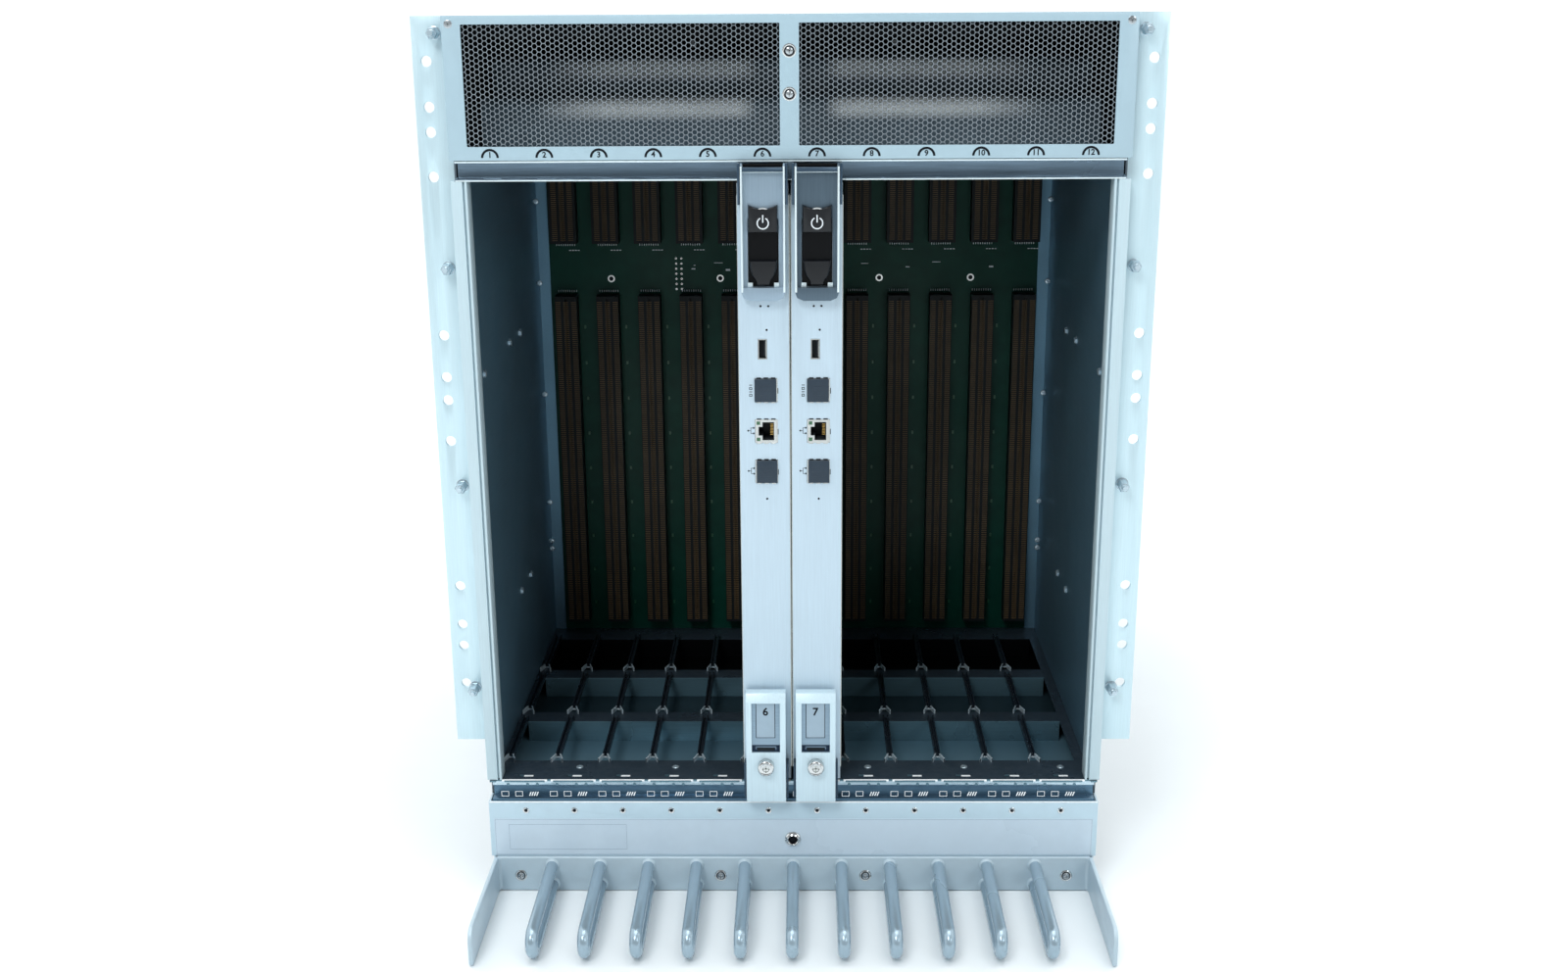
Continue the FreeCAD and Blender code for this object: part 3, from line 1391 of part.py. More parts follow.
def impeller(index):
    """Backward-curved impeller that turns on the blower's axle."""
    body = new_body()
    centre = module_centre(index, "blower")
    back = "chassis_depth/2 - blower_sheet - impeller_setback"
    hub = new_sketch(body, "XZ", f"{back} - impeller_height")
    polygon(hub, "0", "0", "impeller_hub_radius", 2*VANES)
    pad(body, hub, "impeller_height")
    disc = new_sketch(body, "XZ", f"{back} - impeller_height")
    polygon(disc, "0", "0", "impeller_radius", 2*VANES)
    pad(body, disc, "impeller_plate")
    vane = new_sketch(body, "XZ", f"{back} - impeller_height")
    stations = ((0.27, 0), (0.55, -14), (0.8, -32), (0.97, -52))
    outer = [(f"impeller_radius*{radius}*cos({angle})", f"impeller_radius*{radius}*sin({angle})")
             for radius, angle in stations]
    inner = [(f"impeller_radius*{radius}*cos({angle}) - impeller_plate*0.4",
              f"impeller_radius*{radius}*sin({angle}) - impeller_plate*0.9")
             for radius, angle in stations]
    outline(vane, outer + inner[::-1])
    blade_pad = pad(body, vane, "impeller_height")
    ring = body.newObject("PartDesign::PolarPattern", "Vanes")
    ring.Originals = [blade_pad]
    ring.Axis = (origin_feature(body, "Y_Axis"), [""])
    ring.Angle = 360
    ring.Occurrences = VANES
    body.Tip = ring
    document.recompute()
    bore = new_sketch(body, "XZ", f"{back} - impeller_height")
    polygon(bore, "0", "0", "axle_radius + pin_running_gap", HEAD_SIDES)
    pocket(body, bore, "impeller_height")
    body.setExpression("Placement.Base.x", formula(centre))
    body.setExpression("Placement.Base.z", formula("intake_z"))
    finish(body, f"impeller_{index + 1}")


def power_supply(index):
    """Slide-in supply with a mains inlet, its three pins and a pull handle."""
    centre = module_centre(index, "supply")
    back = "chassis_depth/2"
    middle = "(supply_bottom + supply_top)/2"
    case = box((f"{centre} - supply_width/2", f"{centre} + supply_width/2"),
               (f"{back} - supply_depth", back), ("supply_bottom", "supply_top"))
    inlet_x = f"({centre} + supply_width/4)"
    inlet = box((f"{inlet_x} - inlet_width/2", f"{inlet_x} + inlet_width/2"),
                (f"{back} - inlet_depth", back),
                (f"{middle} - inlet_height/2", f"{middle} + inlet_height/2"))
    pins = [box((f"{inlet_x} + {x} - 1", f"{inlet_x} + {x} + 1"),
                (f"{back} - inlet_depth", f"{back} - inlet_depth + inlet_pin_depth"),
                (f"{middle} + {z} - 4", f"{middle} + {z} + 4"))
            for x, z in ((-9, -2), (0, 2), (9, -2))]
    handle = handle_parts(f"({centre} - supply_width/4)", middle, back)
    finish(fuse([cut(case, [inlet])] + pins + handle), f"power_supply_{index + 1}")


# ---------------------------------------------------------------- assembly

for wall_label, wall_side in (("left", -1), ("right", 1)):
    side_wall(f"side_wall_{wall_label}", wall_side)
    upright(f"upright_{wall_label}", wall_side)
    cage_wall(f"cage_wall_{wall_label}", wall_side)
    rack_ear(f"rack_ear_{wall_label}", wall_side)
top_cover()
bottom_pan()
vent_bezel()
vent_screens()
air_baffle()
top_rail()
bottom_rail()
lower_panel()
ground_jack()
cage_floor()
plenum_tray()
cage_ceiling()
lower_card_guides()
upper_card_guides()
midplane_board()
midplane_connectors("lower_connectors", "lower_connector_width",
                    "lower_connector_bottom", "lower_connector_top")
midplane_connectors("upper_connectors", "upper_connector_width",
                    "upper_connector_bottom", "upper_connector_top")
cable_comb()
panel_screws()
ear_bolts()
rear_bay()
for slot_number in (6, 7):
    blade(slot_number)
for blower_index in range(int(value("blower_count"))):
    blower(blower_index)
    impeller(blower_index)
for supply_index in range(int(value("supply_count"))):
    power_supply(supply_index)

document.recompute()
for item in document.Objects:
    if "Invalid" in item.State or "Error" in item.State:
        raise RuntimeError(f"{item.Label} did not rebuild: {item.State}")
for subpart in subparts:
    if subpart.Shape.isNull() or not subpart.Shape.isValid():
        raise RuntimeError(f"{subpart.Label} has no valid shape")
os.makedirs("parts", exist_ok=True)
for subpart in subparts:
    subpart.Shape.exportStep(f"parts/{subpart.Label}.step")
    print(subpart.Label, len(subpart.Shape.Solids), round(subpart.Shape.Volume))
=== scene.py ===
import itertools
import json
import math

import bmesh
import bpy
from mathutils import Euler, Matrix, Vector

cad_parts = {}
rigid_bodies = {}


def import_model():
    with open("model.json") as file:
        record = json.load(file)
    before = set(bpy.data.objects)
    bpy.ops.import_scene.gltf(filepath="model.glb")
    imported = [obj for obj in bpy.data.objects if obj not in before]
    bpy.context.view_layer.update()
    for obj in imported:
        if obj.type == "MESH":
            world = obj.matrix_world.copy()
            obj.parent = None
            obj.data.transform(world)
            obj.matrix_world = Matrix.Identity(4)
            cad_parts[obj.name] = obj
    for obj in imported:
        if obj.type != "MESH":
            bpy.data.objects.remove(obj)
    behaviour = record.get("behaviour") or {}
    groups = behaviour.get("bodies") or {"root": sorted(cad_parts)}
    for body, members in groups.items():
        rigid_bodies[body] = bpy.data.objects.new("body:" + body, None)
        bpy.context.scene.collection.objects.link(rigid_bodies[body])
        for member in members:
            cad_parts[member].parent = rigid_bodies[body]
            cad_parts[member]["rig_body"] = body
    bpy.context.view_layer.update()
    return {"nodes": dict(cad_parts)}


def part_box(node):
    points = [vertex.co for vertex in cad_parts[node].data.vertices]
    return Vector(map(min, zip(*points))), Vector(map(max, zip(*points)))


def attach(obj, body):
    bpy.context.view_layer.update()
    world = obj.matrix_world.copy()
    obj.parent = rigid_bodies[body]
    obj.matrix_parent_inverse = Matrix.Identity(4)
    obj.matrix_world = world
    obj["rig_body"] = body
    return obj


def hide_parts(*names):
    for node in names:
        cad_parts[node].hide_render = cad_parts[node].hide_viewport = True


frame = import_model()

# lengths and places are in millimetres, and become metres where a mesh gets its points
mm = 0.001
nodes = frame["nodes"]


def box(node):
    return [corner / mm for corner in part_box(node)]


# measures that several pieces share, read from the model
front = box("vent_bezel")[0].y
rear = box("side_wall_left")[1].y
halfWidth = box("vent_bezel")[1].x
chassisTop = box("vent_bezel")[1].z
slotPitch = box("blade_7_faceplate")[0].x - box("blade_6_faceplate")[0].x
slotCount = 12
slots = range(1, slotCount + 1)


def slotCentre(slot):
    return (slot - 0.5 - slotCount / 2) * slotPitch


# node trees, for shading and for geometry

def newTree(name, kind, inputs, outputs):
    # An input is given by its default, or by its kind where it has none.
    tree = bpy.data.node_groups.new(name, kind)
    kinds = {int: "Int", float: "Float", tuple: "Vector"}
    for label, value in inputs.items():
        bare = isinstance(value, str)
        socket = tree.interface.new_socket(label, in_out="INPUT",
                                           socket_type="NodeSocket" + (value if bare else kinds[type(value)]))
        if not bare:
            socket.default_value = value
    for label, value in outputs.items():
        tree.interface.new_socket(label, in_out="OUTPUT", socket_type="NodeSocket" + value)
    return tree, tree.nodes.new("NodeGroupInput").outputs, tree.nodes.new("NodeGroupOutput").inputs


def feed(tree, value, socket):
    if hasattr(value, "is_linked"):
        tree.links.new(value, socket)
    else:
        socket.default_value = value


def step(tree, kind, settings=None, **inputs):
    # Adds a node; its inputs are given by name, as values or as the sockets that feed them.
    node = tree.nodes.new(kind)
    for key, value in (settings or {}).items():
        setattr(node, key, value)
    for label, value in inputs.items():
        feed(tree, value, node.inputs[label.replace("_", " ")])
    return node


def calc(tree, operation, *values, kind="ShaderNodeMath", **settings):
    node = step(tree, kind, {"operation": operation, **settings})
    for socket, value in zip(node.inputs, values):
        feed(tree, value, socket)
    return node.outputs[0]


def product(tree, first, *others):
    for other in others:
        first = calc(tree, "MULTIPLY", first, other, use_clamp=True)
    return first


def remap(tree, value, low=0, high=1, toLow=0, toHigh=1, **settings):
    # A value stretched from one range to another.
    return step(tree, "ShaderNodeMapRange", settings, Value=value, From_Min=low, From_Max=high, To_Min=toLow,
                To_Max=toHigh).outputs["Result"]


def noise(tree, place, scale, detail=3.0, roughness=0.55):
    return step(tree, "ShaderNodeTexNoise", Detail=detail, Roughness=roughness, Vector=place,
                Scale=scale).outputs["Fac"]


def mixTone(tree, mask, first, second):
    return step(tree, "ShaderNodeMix", {"data_type": "RGBA"}, Factor=mask, A=first,
                B=second).outputs["Result"]


# stage: light and camera, placed in metres

stage = {
    "floorReach": 40000,
    "worldTone": (0.97, 0.99, 1.0),
    "worldStrength": 1.25,
    "frontShare": 0.22,
    "ceilingLight": 0.9,
    "cameraPlace": (0.00892, -1.35093, 0.60422),
    "cameraTurn": (74.0472, 0.3318, 0.6637),
    "lens": 36.868,
    "lamps": [
        # name, place, target, width, height, watts, tone
        ("keyLamp", (-0.8, -2.3, 2.3), (0, -0.2, 0.25), 0.9, 0.9, 32, (0.94, 0.98, 1.0)),
        ("fillLamp", (1.6, -2.4, 1.6), (0, -0.2, 0.3), 0.9, 0.9, 10, (0.92, 0.98, 1.0)),
        ("topLamp", (0.0, -0.3, 2.4), (0, 0, 0.5), 1.6, 1.2, 8, (0.94, 0.98, 1.0)),
        ("rearLamp", (0.2, 2.2, 1.6), (0, 0.2, 0.3), 1.2, 1.2, 6, (0.92, 0.98, 1.0)),
    ],
}


def newObject(name, data):
    thing = bpy.data.objects.new(name, data)
    bpy.context.scene.collection.objects.link(thing)
    return thing


def buildStage():
    scene = bpy.context.scene
    scene.view_settings.view_transform = "Standard"
    scene.world = bpy.data.worlds.new("paleRoom")
    scene.world.use_nodes = True
    tree = scene.world.node_tree
    sky = tree.nodes["Background"].inputs
    sky["Color"].default_value = (*stage["worldTone"], 1)
    # the room is dim in front of the object and bright elsewhere, so that dark parts stay dark
    place = step(tree, "ShaderNodeTexCoord").outputs["Generated"]
    toFront = step(tree, "ShaderNodeVectorMath", {"operation": "DOT_PRODUCT"})
    feed(tree, place, toFront.inputs[0])
    toFront.inputs[1].default_value = Vector((0, -1, 0.25)).normalized()
    full = stage["worldStrength"]
    fade = remap(tree, toFront.outputs["Value"], 0.2, 0.75, full, full * stage["frontShare"],
                 interpolation_type="SMOOTHSTEP")
    seen = step(tree, "ShaderNodeLightPath").outputs["Is Camera Ray"]
    feed(tree, step(tree, "ShaderNodeMix", Factor=seen, A=fade, B=full).outputs["Result"], sky["Strength"])
    camera = newObject("camera", bpy.data.cameras.new("camera"))
    camera.location = stage["cameraPlace"]
    camera.rotation_euler = [math.radians(a) for a in stage["cameraTurn"]]
    camera.data.lens, camera.data.sensor_width, camera.data.clip_end = stage["lens"], 36, 60
    scene.camera = camera
    above = newObject("ceilingLight", bpy.data.lights.new("ceilingLight", "SUN"))
    above.data.energy, above.data.angle = stage["ceilingLight"], math.radians(50)
    for name, place, target, width, height, watts, tint in stage["lamps"]:
        lamp = newObject(name, bpy.data.lights.new(name, "AREA"))
        lamp.data.shape = "RECTANGLE"
        lamp.data.size, lamp.data.size_y = width, height
        lamp.data.energy, lamp.data.color = watts, tint
        lamp.location = place
        lamp.rotation_euler = (Vector(target) - Vector(place)).to_track_quat("-Z", "Y").to_euler()
    print("stage")


# shader groups that the finishes share

def newGroup(name, outputs, **inputs):
    inputs = {label.replace("_", " "): value for label, value in inputs.items()}
    return newTree(name, "ShaderNodeTree", {"Vector": "Vector", **inputs}, dict.fromkeys(outputs, "Float"))


def fineGrain():
    # Fine bumps and a faint mottle, as powder coat and moulded plastic have.
    tree, entry, leave = newGroup("fineGrain", ("Height", "Shade"), Scale=900.0, Mottle_Scale=60.0)
    feed(tree, noise(tree, entry["Vector"], entry["Scale"]), leave["Height"])
    mottle = noise(tree, entry["Vector"], entry["Mottle Scale"], 4.0)
    feed(tree, remap(tree, mottle, 0.3, 0.7), leave["Shade"])
    return tree


def rolledStreaks():
    # Fine parallel lines left in rolled sheet and drawn rod.
    tree, entry, leave = newGroup("rolledStreaks", ("Height", "Shade"), Along=(1.0, 40.0, 40.0), Scale=30.0)
    stretched = calc(tree, "MULTIPLY", entry["Vector"], entry["Along"], kind="ShaderNodeVectorMath")
    lines = noise(tree, stretched, entry["Scale"], 5.0, 0.7)
    feed(tree, lines, leave["Height"])
    feed(tree, remap(tree, lines, 0.35, 0.65), leave["Shade"])
    return tree


def handledMarks():
    # Faint smudges, and thin scuffs where the smudges are.
    tree, entry, leave = newGroup("handledMarks", ("Smudge", "Scuff"), Scale=9.0, Scuffs=0.5)
    smudge = remap(tree, noise(tree, entry["Vector"], entry["Scale"], 5.0), 0.42, 0.72)
    feed(tree, smudge, leave["Smudge"])
    turn = step(tree, "ShaderNodeMapping", Vector=entry["Vector"], Rotation=(0.4, 0.9, 0.6),
                Scale=(1.0, 26.0, 26.0))
    lines = remap(tree, noise(tree, turn.outputs["Vector"], 22.0, 6.0, 0.8), 0.66, 0.74)
    feed(tree, product(tree, lines, smudge, entry["Scuffs"]), leave["Scuff"])
    return tree


def settledDust():
    # Thin dust on faces that look up.
    tree, entry, leave = newGroup("settledDust", ("Mask",), Amount=0.3)
    normal = step(tree, "ShaderNodeNewGeometry").outputs["Normal"]
    upward = remap(tree, step(tree, "ShaderNodeSeparateXYZ", Vector=normal).outputs["Z"], 0.5, 1.0)
    speckle = remap(tree, noise(tree, entry["Vector"], 180.0, 6.0, 0.75), 0.35, 0.75)
    feed(tree, product(tree, upward, speckle, entry["Amount"]), leave["Mask"])
    return tree


grainGroup, streakGroup = fineGrain(), rolledStreaks()
markGroup, dustGroup = handledMarks(), settledDust()


def tone(red, green, blue):
    # A colour given as screen values from 0 to 255.
    shares = [c / 255 for c in (red, green, blue)]
    return tuple(c / 12.92 if c <= 0.04045 else ((c + 0.055) / 1.055) ** 2.4 for c in shares) + (1.0,)


def makeFinish(name, colour, dark, rough, surface, bump, metallic, dust, more=None):
    # A finish with grain or rolling streaks, handling marks and dust.
    more = {"smudges": 9.0, "scuffs": 0.12, "coat": 0.0, "specular": 0.5, **(more or {})}
    material = bpy.data.materials.new(name)
    material.use_nodes = True
    tree = material.node_tree
    shader = tree.nodes["Principled BSDF"].inputs
    place = step(tree, "ShaderNodeTexCoord").outputs["Object"]
    base = tone(*colour)
    shade = tuple(c * dark for c in base[:3]) + (1.0,)
    worn = tuple(min(1, c * 1.35 + 0.03) for c in base[:3]) + (1.0,)
    if isinstance(surface, tuple):
        sheet = step(tree, "ShaderNodeGroup", {"node_tree": streakGroup}, Vector=place, Along=surface).outputs
    else:
        sheet = step(tree, "ShaderNodeGroup", {"node_tree": grainGroup}, Vector=place, Scale=surface,
                     Mottle_Scale=surface / 14).outputs
    marks = step(tree, "ShaderNodeGroup", {"node_tree": markGroup}, Vector=place, Scale=more["smudges"],
                 Scuffs=more["scuffs"]).outputs
    shown = mixTone(tree, sheet["Shade"], shade, base)
    shown = mixTone(tree, product(tree, marks["Smudge"], 0.5), shown, shade)
    shown = mixTone(tree, marks["Scuff"], shown, worn)
    if dust:
        layer = step(tree, "ShaderNodeGroup", {"node_tree": dustGroup}, Vector=place, Amount=dust)
        shown = mixTone(tree, layer.outputs["Mask"], shown, tone(190, 196, 198))
    feed(tree, shown, shader["Base Color"])
    feed(tree, remap(tree, marks["Smudge"], toLow=rough[0], toHigh=rough[1]), shader["Roughness"])
    if bump:
        raised = step(tree, "ShaderNodeBump", Strength=bump, Distance=0.0002, Height=sheet["Height"])
        feed(tree, raised.outputs["Normal"], shader["Normal"])
    shader["Metallic"].default_value = metallic
    shader["Specular IOR Level"].default_value = more["specular"]
    if more["coat"]:
        shader["Coat Weight"].default_value = more["coat"]
        shader["Coat Roughness"].default_value = 0.12
    return material


alongX, alongY, alongZ = (1.0, 40.0, 40.0), (40.0, 1.0, 40.0), (40.0, 40.0, 1.0)

# screen colour, share of it in the shade, roughness, fineness of the grain or way of the streaks, bump,
# metallic, dust, and what else is unlike the others
recipes = {
    "paleCoat": ((166, 191, 203), 0.95, (0.34, 0.46), 1300, 0.04, 0, 0.15, dict(specular=0.6)),
    "postCoat": ((191, 212, 220), 0.93, (0.32, 0.46), alongZ, 0.03, 0, 0.15, dict(specular=0.6)),
    "panelCoat": ((189, 213, 226), 0.94, (0.38, 0.52), 1300, 0.05, 0, 0.15, dict(scuffs=0.1)),
    "overlayFilm": ((199, 216, 229), 0.96, (0.22, 0.34), 1600, 0.02, 0, 0, dict(scuffs=0.04)),
    "plateCoat": ((192, 211, 224), 0.93, (0.36, 0.5), alongZ, 0.04, 0.15, 0.15),
    "leverCoat": ((208, 230, 240), 0.9, (0.3, 0.46), alongZ, 0.04, 0.1, 0.15),
    "greyLeverCoat": ((150, 170, 186), 0.88, (0.34, 0.5), alongZ, 0.05, 0.5, 0.15),
    "leverDarkReflectionCoat": ((86, 104, 118), 0.82, (0.38, 0.54), alongZ, 0.05, 0.5, 0.15),
    "recessCoat": ((142, 166, 184), 0.85, (0.3, 0.44), alongX, 0.04, 0.4, 0.15),
    "combCoat": ((184, 203, 214), 0.92, (0.34, 0.5), 1100, 0.05, 0.1, 0.15, dict(scuffs=0.1)),
    "combRod": ((160, 181, 194), 0.97, (0.26, 0.3), 1300, 0.01, 0.5, 0, dict(smudges=4, scuffs=0)),
    "zincEar": ((206, 229, 237), 0.93, (0.3, 0.46), alongZ, 0.04, 0.3, 0.15, dict(scuffs=0.15)),
    "zincRail": ((196, 218, 230), 0.86, (0.2, 0.36), alongX, 0.02, 0.75, 0.15),
    "railSteel": ((112, 134, 152), 0.7, (0.2, 0.34), alongX, 0.02, 0.6, 0.15),
    "darkRail": ((88, 122, 146), 0.8, (0.26, 0.4), alongX, 0.02, 0.6, 0.15),
    "zincFloor": ((104, 138, 154), 0.8, (0.26, 0.42), alongX, 0.02, 0.5, 0.08, dict(scuffs=0.1)),
    "wallSheet": ((112, 150, 172), 0.88, (0.36, 0.5), alongY, 0.02, 0.6, 0.05),
    "shellCoat": ((92, 106, 116), 0.9, (0.4, 0.54), 1100, 0.06, 0, 0.15, dict(scuffs=0.45)),
    "rearCoat": ((128, 138, 146), 0.9, (0.38, 0.52), 1200, 0.05, 0, 0.15),
    "darkSheet": ((34, 40, 44), 0.75, (0.42, 0.56), 900, 0.05, 0, 0.1, dict(specular=0.12)),
    "deepBlack": ((9, 11, 13), 0.8, (0.55, 0.7), 900, 0.02, 0, 0, dict(scuffs=0, specular=0.04)),
    "floorShadedTop": ((52, 66, 78), 0.8, (0.26, 0.42), alongX, 0.02, 0.2, 0.04, dict(scuffs=0.1, specular=0.25)),
    "floorLitFold": ((100, 134, 148), 0.85, (0.24, 0.38), alongX, 0.015, 0.45, 0.04, dict(scuffs=0)),
    "trayFloor": ((118, 152, 168), 0.85, (0.3, 0.44), alongX, 0.015, 0.2, 0.04,
                  dict(scuffs=0, specular=0.25)),
    "brightEdge": ((250, 253, 255), 0.96, (0.24, 0.36), 1300, 0.01, 0, 0, dict(scuffs=0)),
    "clawShade": ((58, 78, 96), 0.8, (0.24, 0.38), alongX, 0.02, 0.3, 0.15, dict(specular=0.3)),
    "meshStrand": ((150, 160, 168), 0.8, (0.3, 0.46), 1600, 0.02, 0.6, 0.1),
    "blackGloss": ((16, 19, 24), 0.8, (0.1, 0.2), 1500, 0.02, 0, 0, dict(coat=0.15, specular=0.25)),
    "blackMoulded": ((24, 28, 33), 0.8, (0.34, 0.5), 1400, 0.08, 0, 0.1, dict(specular=0.12)),
    "ink": ((22, 26, 32), 0.9, (0.5, 0.6), 900, 0, 0, 0, dict(scuffs=0, specular=0.12)),
    "paleInk": ((226, 232, 236), 0.95, (0.45, 0.55), 900, 0, 0, 0, dict(scuffs=0)),
    "chrome": ((214, 216, 216), 0.9, (0.1, 0.22), 1500, 0.02, 1, 0.05),
    "screwSteel": ((186, 192, 196), 0.85, (0.2, 0.36), 1500, 0.04, 0.9, 0.15),
    "boltSteel": ((196, 214, 224), 0.75, (0.18, 0.34), alongY, 0.05, 0.6, 0.15),
    "tinShield": ((196, 198, 196), 0.85, (0.22, 0.36), 1200, 0.03, 0.9, 0),
    "goldContact": ((204, 166, 98), 0.8, (0.2, 0.32), 1500, 0, 1, 0),
    "solderMask": ((12, 66, 54), 0.72, (0.34, 0.46), 700, 0.08, 0, 0.05, dict(specular=0.12)),
    "boardGreen": ((24, 92, 62), 0.75, (0.3, 0.42), 700, 0.08, 0, 0.1),
    "connectorBody": ((30, 34, 36), 0.8, (0.4, 0.55), 1000, 0.06, 0, 0, dict(specular=0.12)),
    "contactRib": ((112, 92, 66), 0.62, (0.36, 0.52), 600, 0.04, 0, 0, dict(specular=0.12)),
    "guidePlastic": ((22, 34, 46), 0.8, (0.2, 0.34), 1200, 0.03, 0, 0.05, dict(specular=0.4)),
    "guideMouthHighlight": ((206, 222, 230), 0.85, (0.12, 0.24), 1200, 0.02, 0.35, 0),
    "greenLamp": ((44, 96, 62), 0.85, (0.2, 0.3), 1500, 0, 0, 0, dict(coat=0.3)),
    "capRubber": ((52, 64, 76), 0.85, (0.32, 0.46), 1400, 0.06, 0, 0.1, dict(specular=0.2)),
    "leverEdge": ((222, 236, 240), 0.94, (0.26, 0.4), alongZ, 0.03, 0.2, 0.15),
    "labelPlate": ((158, 180, 196), 0.92, (0.24, 0.36), 1500, 0.02, 0, 0),
    "fingerSlotShade": ((26, 44, 66), 0.85, (0.3, 0.44), 900, 0, 0, 0, dict(scuffs=0, specular=0.12)),
    "sliderShade": ((8, 9, 12), 0.8, (0.3, 0.42), 1500, 0.03, 0, 0, dict(specular=0.12)),
    "traySteel": ((150, 160, 164), 0.85, (0.28, 0.42), alongY, 0.04, 0.85, 0.1),
    "ductZinc": ((92, 110, 122), 0.8, (0.26, 0.4), alongX, 0.01, 0, 0, dict(scuffs=0)),
    "handleBlack": ((46, 52, 58), 0.85, (0.36, 0.5), 1300, 0.06, 0, 0.15, dict(specular=0.3)),
    "springStrip": ((190, 194, 190), 0.85, (0.2, 0.34), alongZ, 0.04, 0.9, 0),
    "floorPaint": ((237, 242, 244), 0.985, (0.6, 0.7), 300, 0.02, 0, 0, dict(scuffs=0)),
}
finishes = {name: makeFinish(name, *recipe) for name, recipe in recipes.items()}
print("finishes", len(finishes))


def opened(finish):
    # A finish's node tree, and the three parts of a place on the object.
    tree = finishes[finish].node_tree
    place = step(tree, "ShaderNodeTexCoord").outputs["Object"]
    return tree, step(tree, "ShaderNodeSeparateXYZ", Vector=place).outputs


def overlay(tree, mask, colour):
    # Lays a colour over what a finish shows, where the mask is 1.
    base = tree.nodes["Principled BSDF"].inputs["Base Color"]
    feed(tree, mixTone(tree, mask, base.links[0].from_socket, tone(*colour)), base)


# mesh helpers

ways = {"front": (90, 0, 0), "back": (-90, 0, 0), "left": (0, -90, 0), "right": (0, 90, 0), "up": (0, 0, 0)}


def metres(*lengths):
    return tuple(length * mm for length in lengths)


def standing(place, way="front"):
    # Sets +Z to look one way from a place.
    turn = Euler([math.radians(a) for a in ways[way]])
    return Matrix.Translation(metres(*place)) @ turn.to_matrix().to_4x4()


def partMesh(part, finish=()):
    mesh = part
    if isinstance(part, bmesh.types.BMesh):
        mesh = bpy.data.meshes.new("part")
        part.to_mesh(mesh)
        part.free()
    for one in [finish] if isinstance(finish, str) else finish:
        mesh.materials.append(finishes[one])
    return mesh


def joined(meshes):
    # Several meshes as one, each with its own finish kept.
    found, bm = [], bmesh.new()
    for mesh in meshes:
        for material in mesh.materials:
            if material not in found:
                found.append(material)
        places = [found.index(material) for material in mesh.materials] or [0]
        start = len(bm.faces)
        bm.from_mesh(mesh)
        bm.faces.ensure_lookup_table()
        for face in bm.faces[start:]:
            face.material_index = places[face.material_index] if face.material_index < len(places) else 0
    whole = partMesh(bm)
    for material in found:
        whole.materials.append(material)
    return whole


def keep(name, shape, finish=(), body="chassis", smooth=False, replaced=()):
    # A finished piece that rides on a body, and stands for CAD nodes if any are named.
    mesh = partMesh(joined(shape) if isinstance(shape, list) else shape, finish)
    piece = newObject(name, mesh)
    if smooth:
        sharpen(mesh, 32)
    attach(piece, body)
    if replaced:
        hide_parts(*replaced)
    return piece


def sharpen(mesh, degrees):
    # Smooths a mesh, apart from the edges that turn more than this.
    mesh.polygons.foreach_set("use_smooth", [True] * len(mesh.polygons))
    bm = bmesh.new()
    bm.from_mesh(mesh)
    for edge in bm.edges:
        edge.smooth = not (len(edge.link_faces) == 2 and edge.calc_face_angle(0) > math.radians(degrees))
    bm.to_mesh(mesh)
    bm.free()


def ring(bm, places):
    return [bm.verts.new(metres(*place)) for place in places]


def loft(bm, rings, tag=0, caps=True):
    # Walls between rings of points, which may end in one point; caps close the other ends.
    made = [bm.faces.new(end) for end in (rings[0], rings[-1]) if caps and len(end) > 2]
    for low, high in zip(rings, rings[1:]):
        count = max(len(low), len(high))
        for i in range(count):
            j = (i + 1) % count
            corners = (low[i % len(low)], low[j % len(low)], high[j % len(high)], high[i % len(high)])
            made.append(bm.faces.new(list(dict.fromkeys(corners))))
    for face in made:
        face.material_index = tag
    bmesh.ops.recalc_face_normals(bm, faces=made)


def joinInto(bm, part, tag=None, turn=None):
    # Moves a part's faces into bm, turned by a matrix if one is given.
    if turn is not None:
        part.transform(turn)
    if tag is not None:
        for face in part.faces:
            face.material_index = tag
    mesh = partMesh(part)
    bm.from_mesh(mesh)
    bpy.data.meshes.remove(mesh)


def bevel(bm, edges, width, steps):
    bmesh.ops.bevel(bm, geom=edges, offset=width * mm, offset_type="OFFSET", segments=steps, profile=0.5,
                    affect="EDGES", clamp_overlap=True, material=-1)


def block(bm, place, x, y, z, edge=0, tag=0, steps=2):
    # A block from its low and high sides about a place, with rounded edges if a width is given.
    part = bmesh.new()
    corners = ring(part, [[a + b for a, b in zip(place, corner)] for corner in itertools.product(x, y, z)])
    for loop in ((0, 1, 3, 2), (4, 6, 7, 5), (0, 4, 5, 1), (2, 3, 7, 6), (0, 2, 6, 4), (1, 5, 7, 3)):
        part.faces.new([corners[i] for i in loop])
    if edge:
        bevel(part, part.edges[:], edge, steps)
    joinInto(bm, part, tag)


def oneBlock(x, y, z, edge=0, steps=1):
    bm = bmesh.new()
    block(bm, (0, 0, 0), x, y, z, edge, 0, steps)
    return bm


def turned(profile, sides=24, flute=1.0, beyond=0.0, caps=False):
    # A turned solid along +Z from (radius, height) pairs; past a radius, every other point is drawn in.
    bm = bmesh.new()
    angles = [2 * math.pi * i / sides for i in range(sides)]
    rings = []
    for radius, height in profile:
        reach = [radius * (flute if i % 2 and radius > beyond else 1) for i in range(sides)]
        places = [(r * math.cos(a), r * math.sin(a), height) for r, a in zip(reach, angles)]
        rings.append(ring(bm, places if radius else [(0, 0, height)]))
    loft(bm, rings, 0, caps)
    return bm


def addTurned(bm, profile, sides, tag, place):
    joinInto(bm, turned(profile, sides), tag, standing(place))


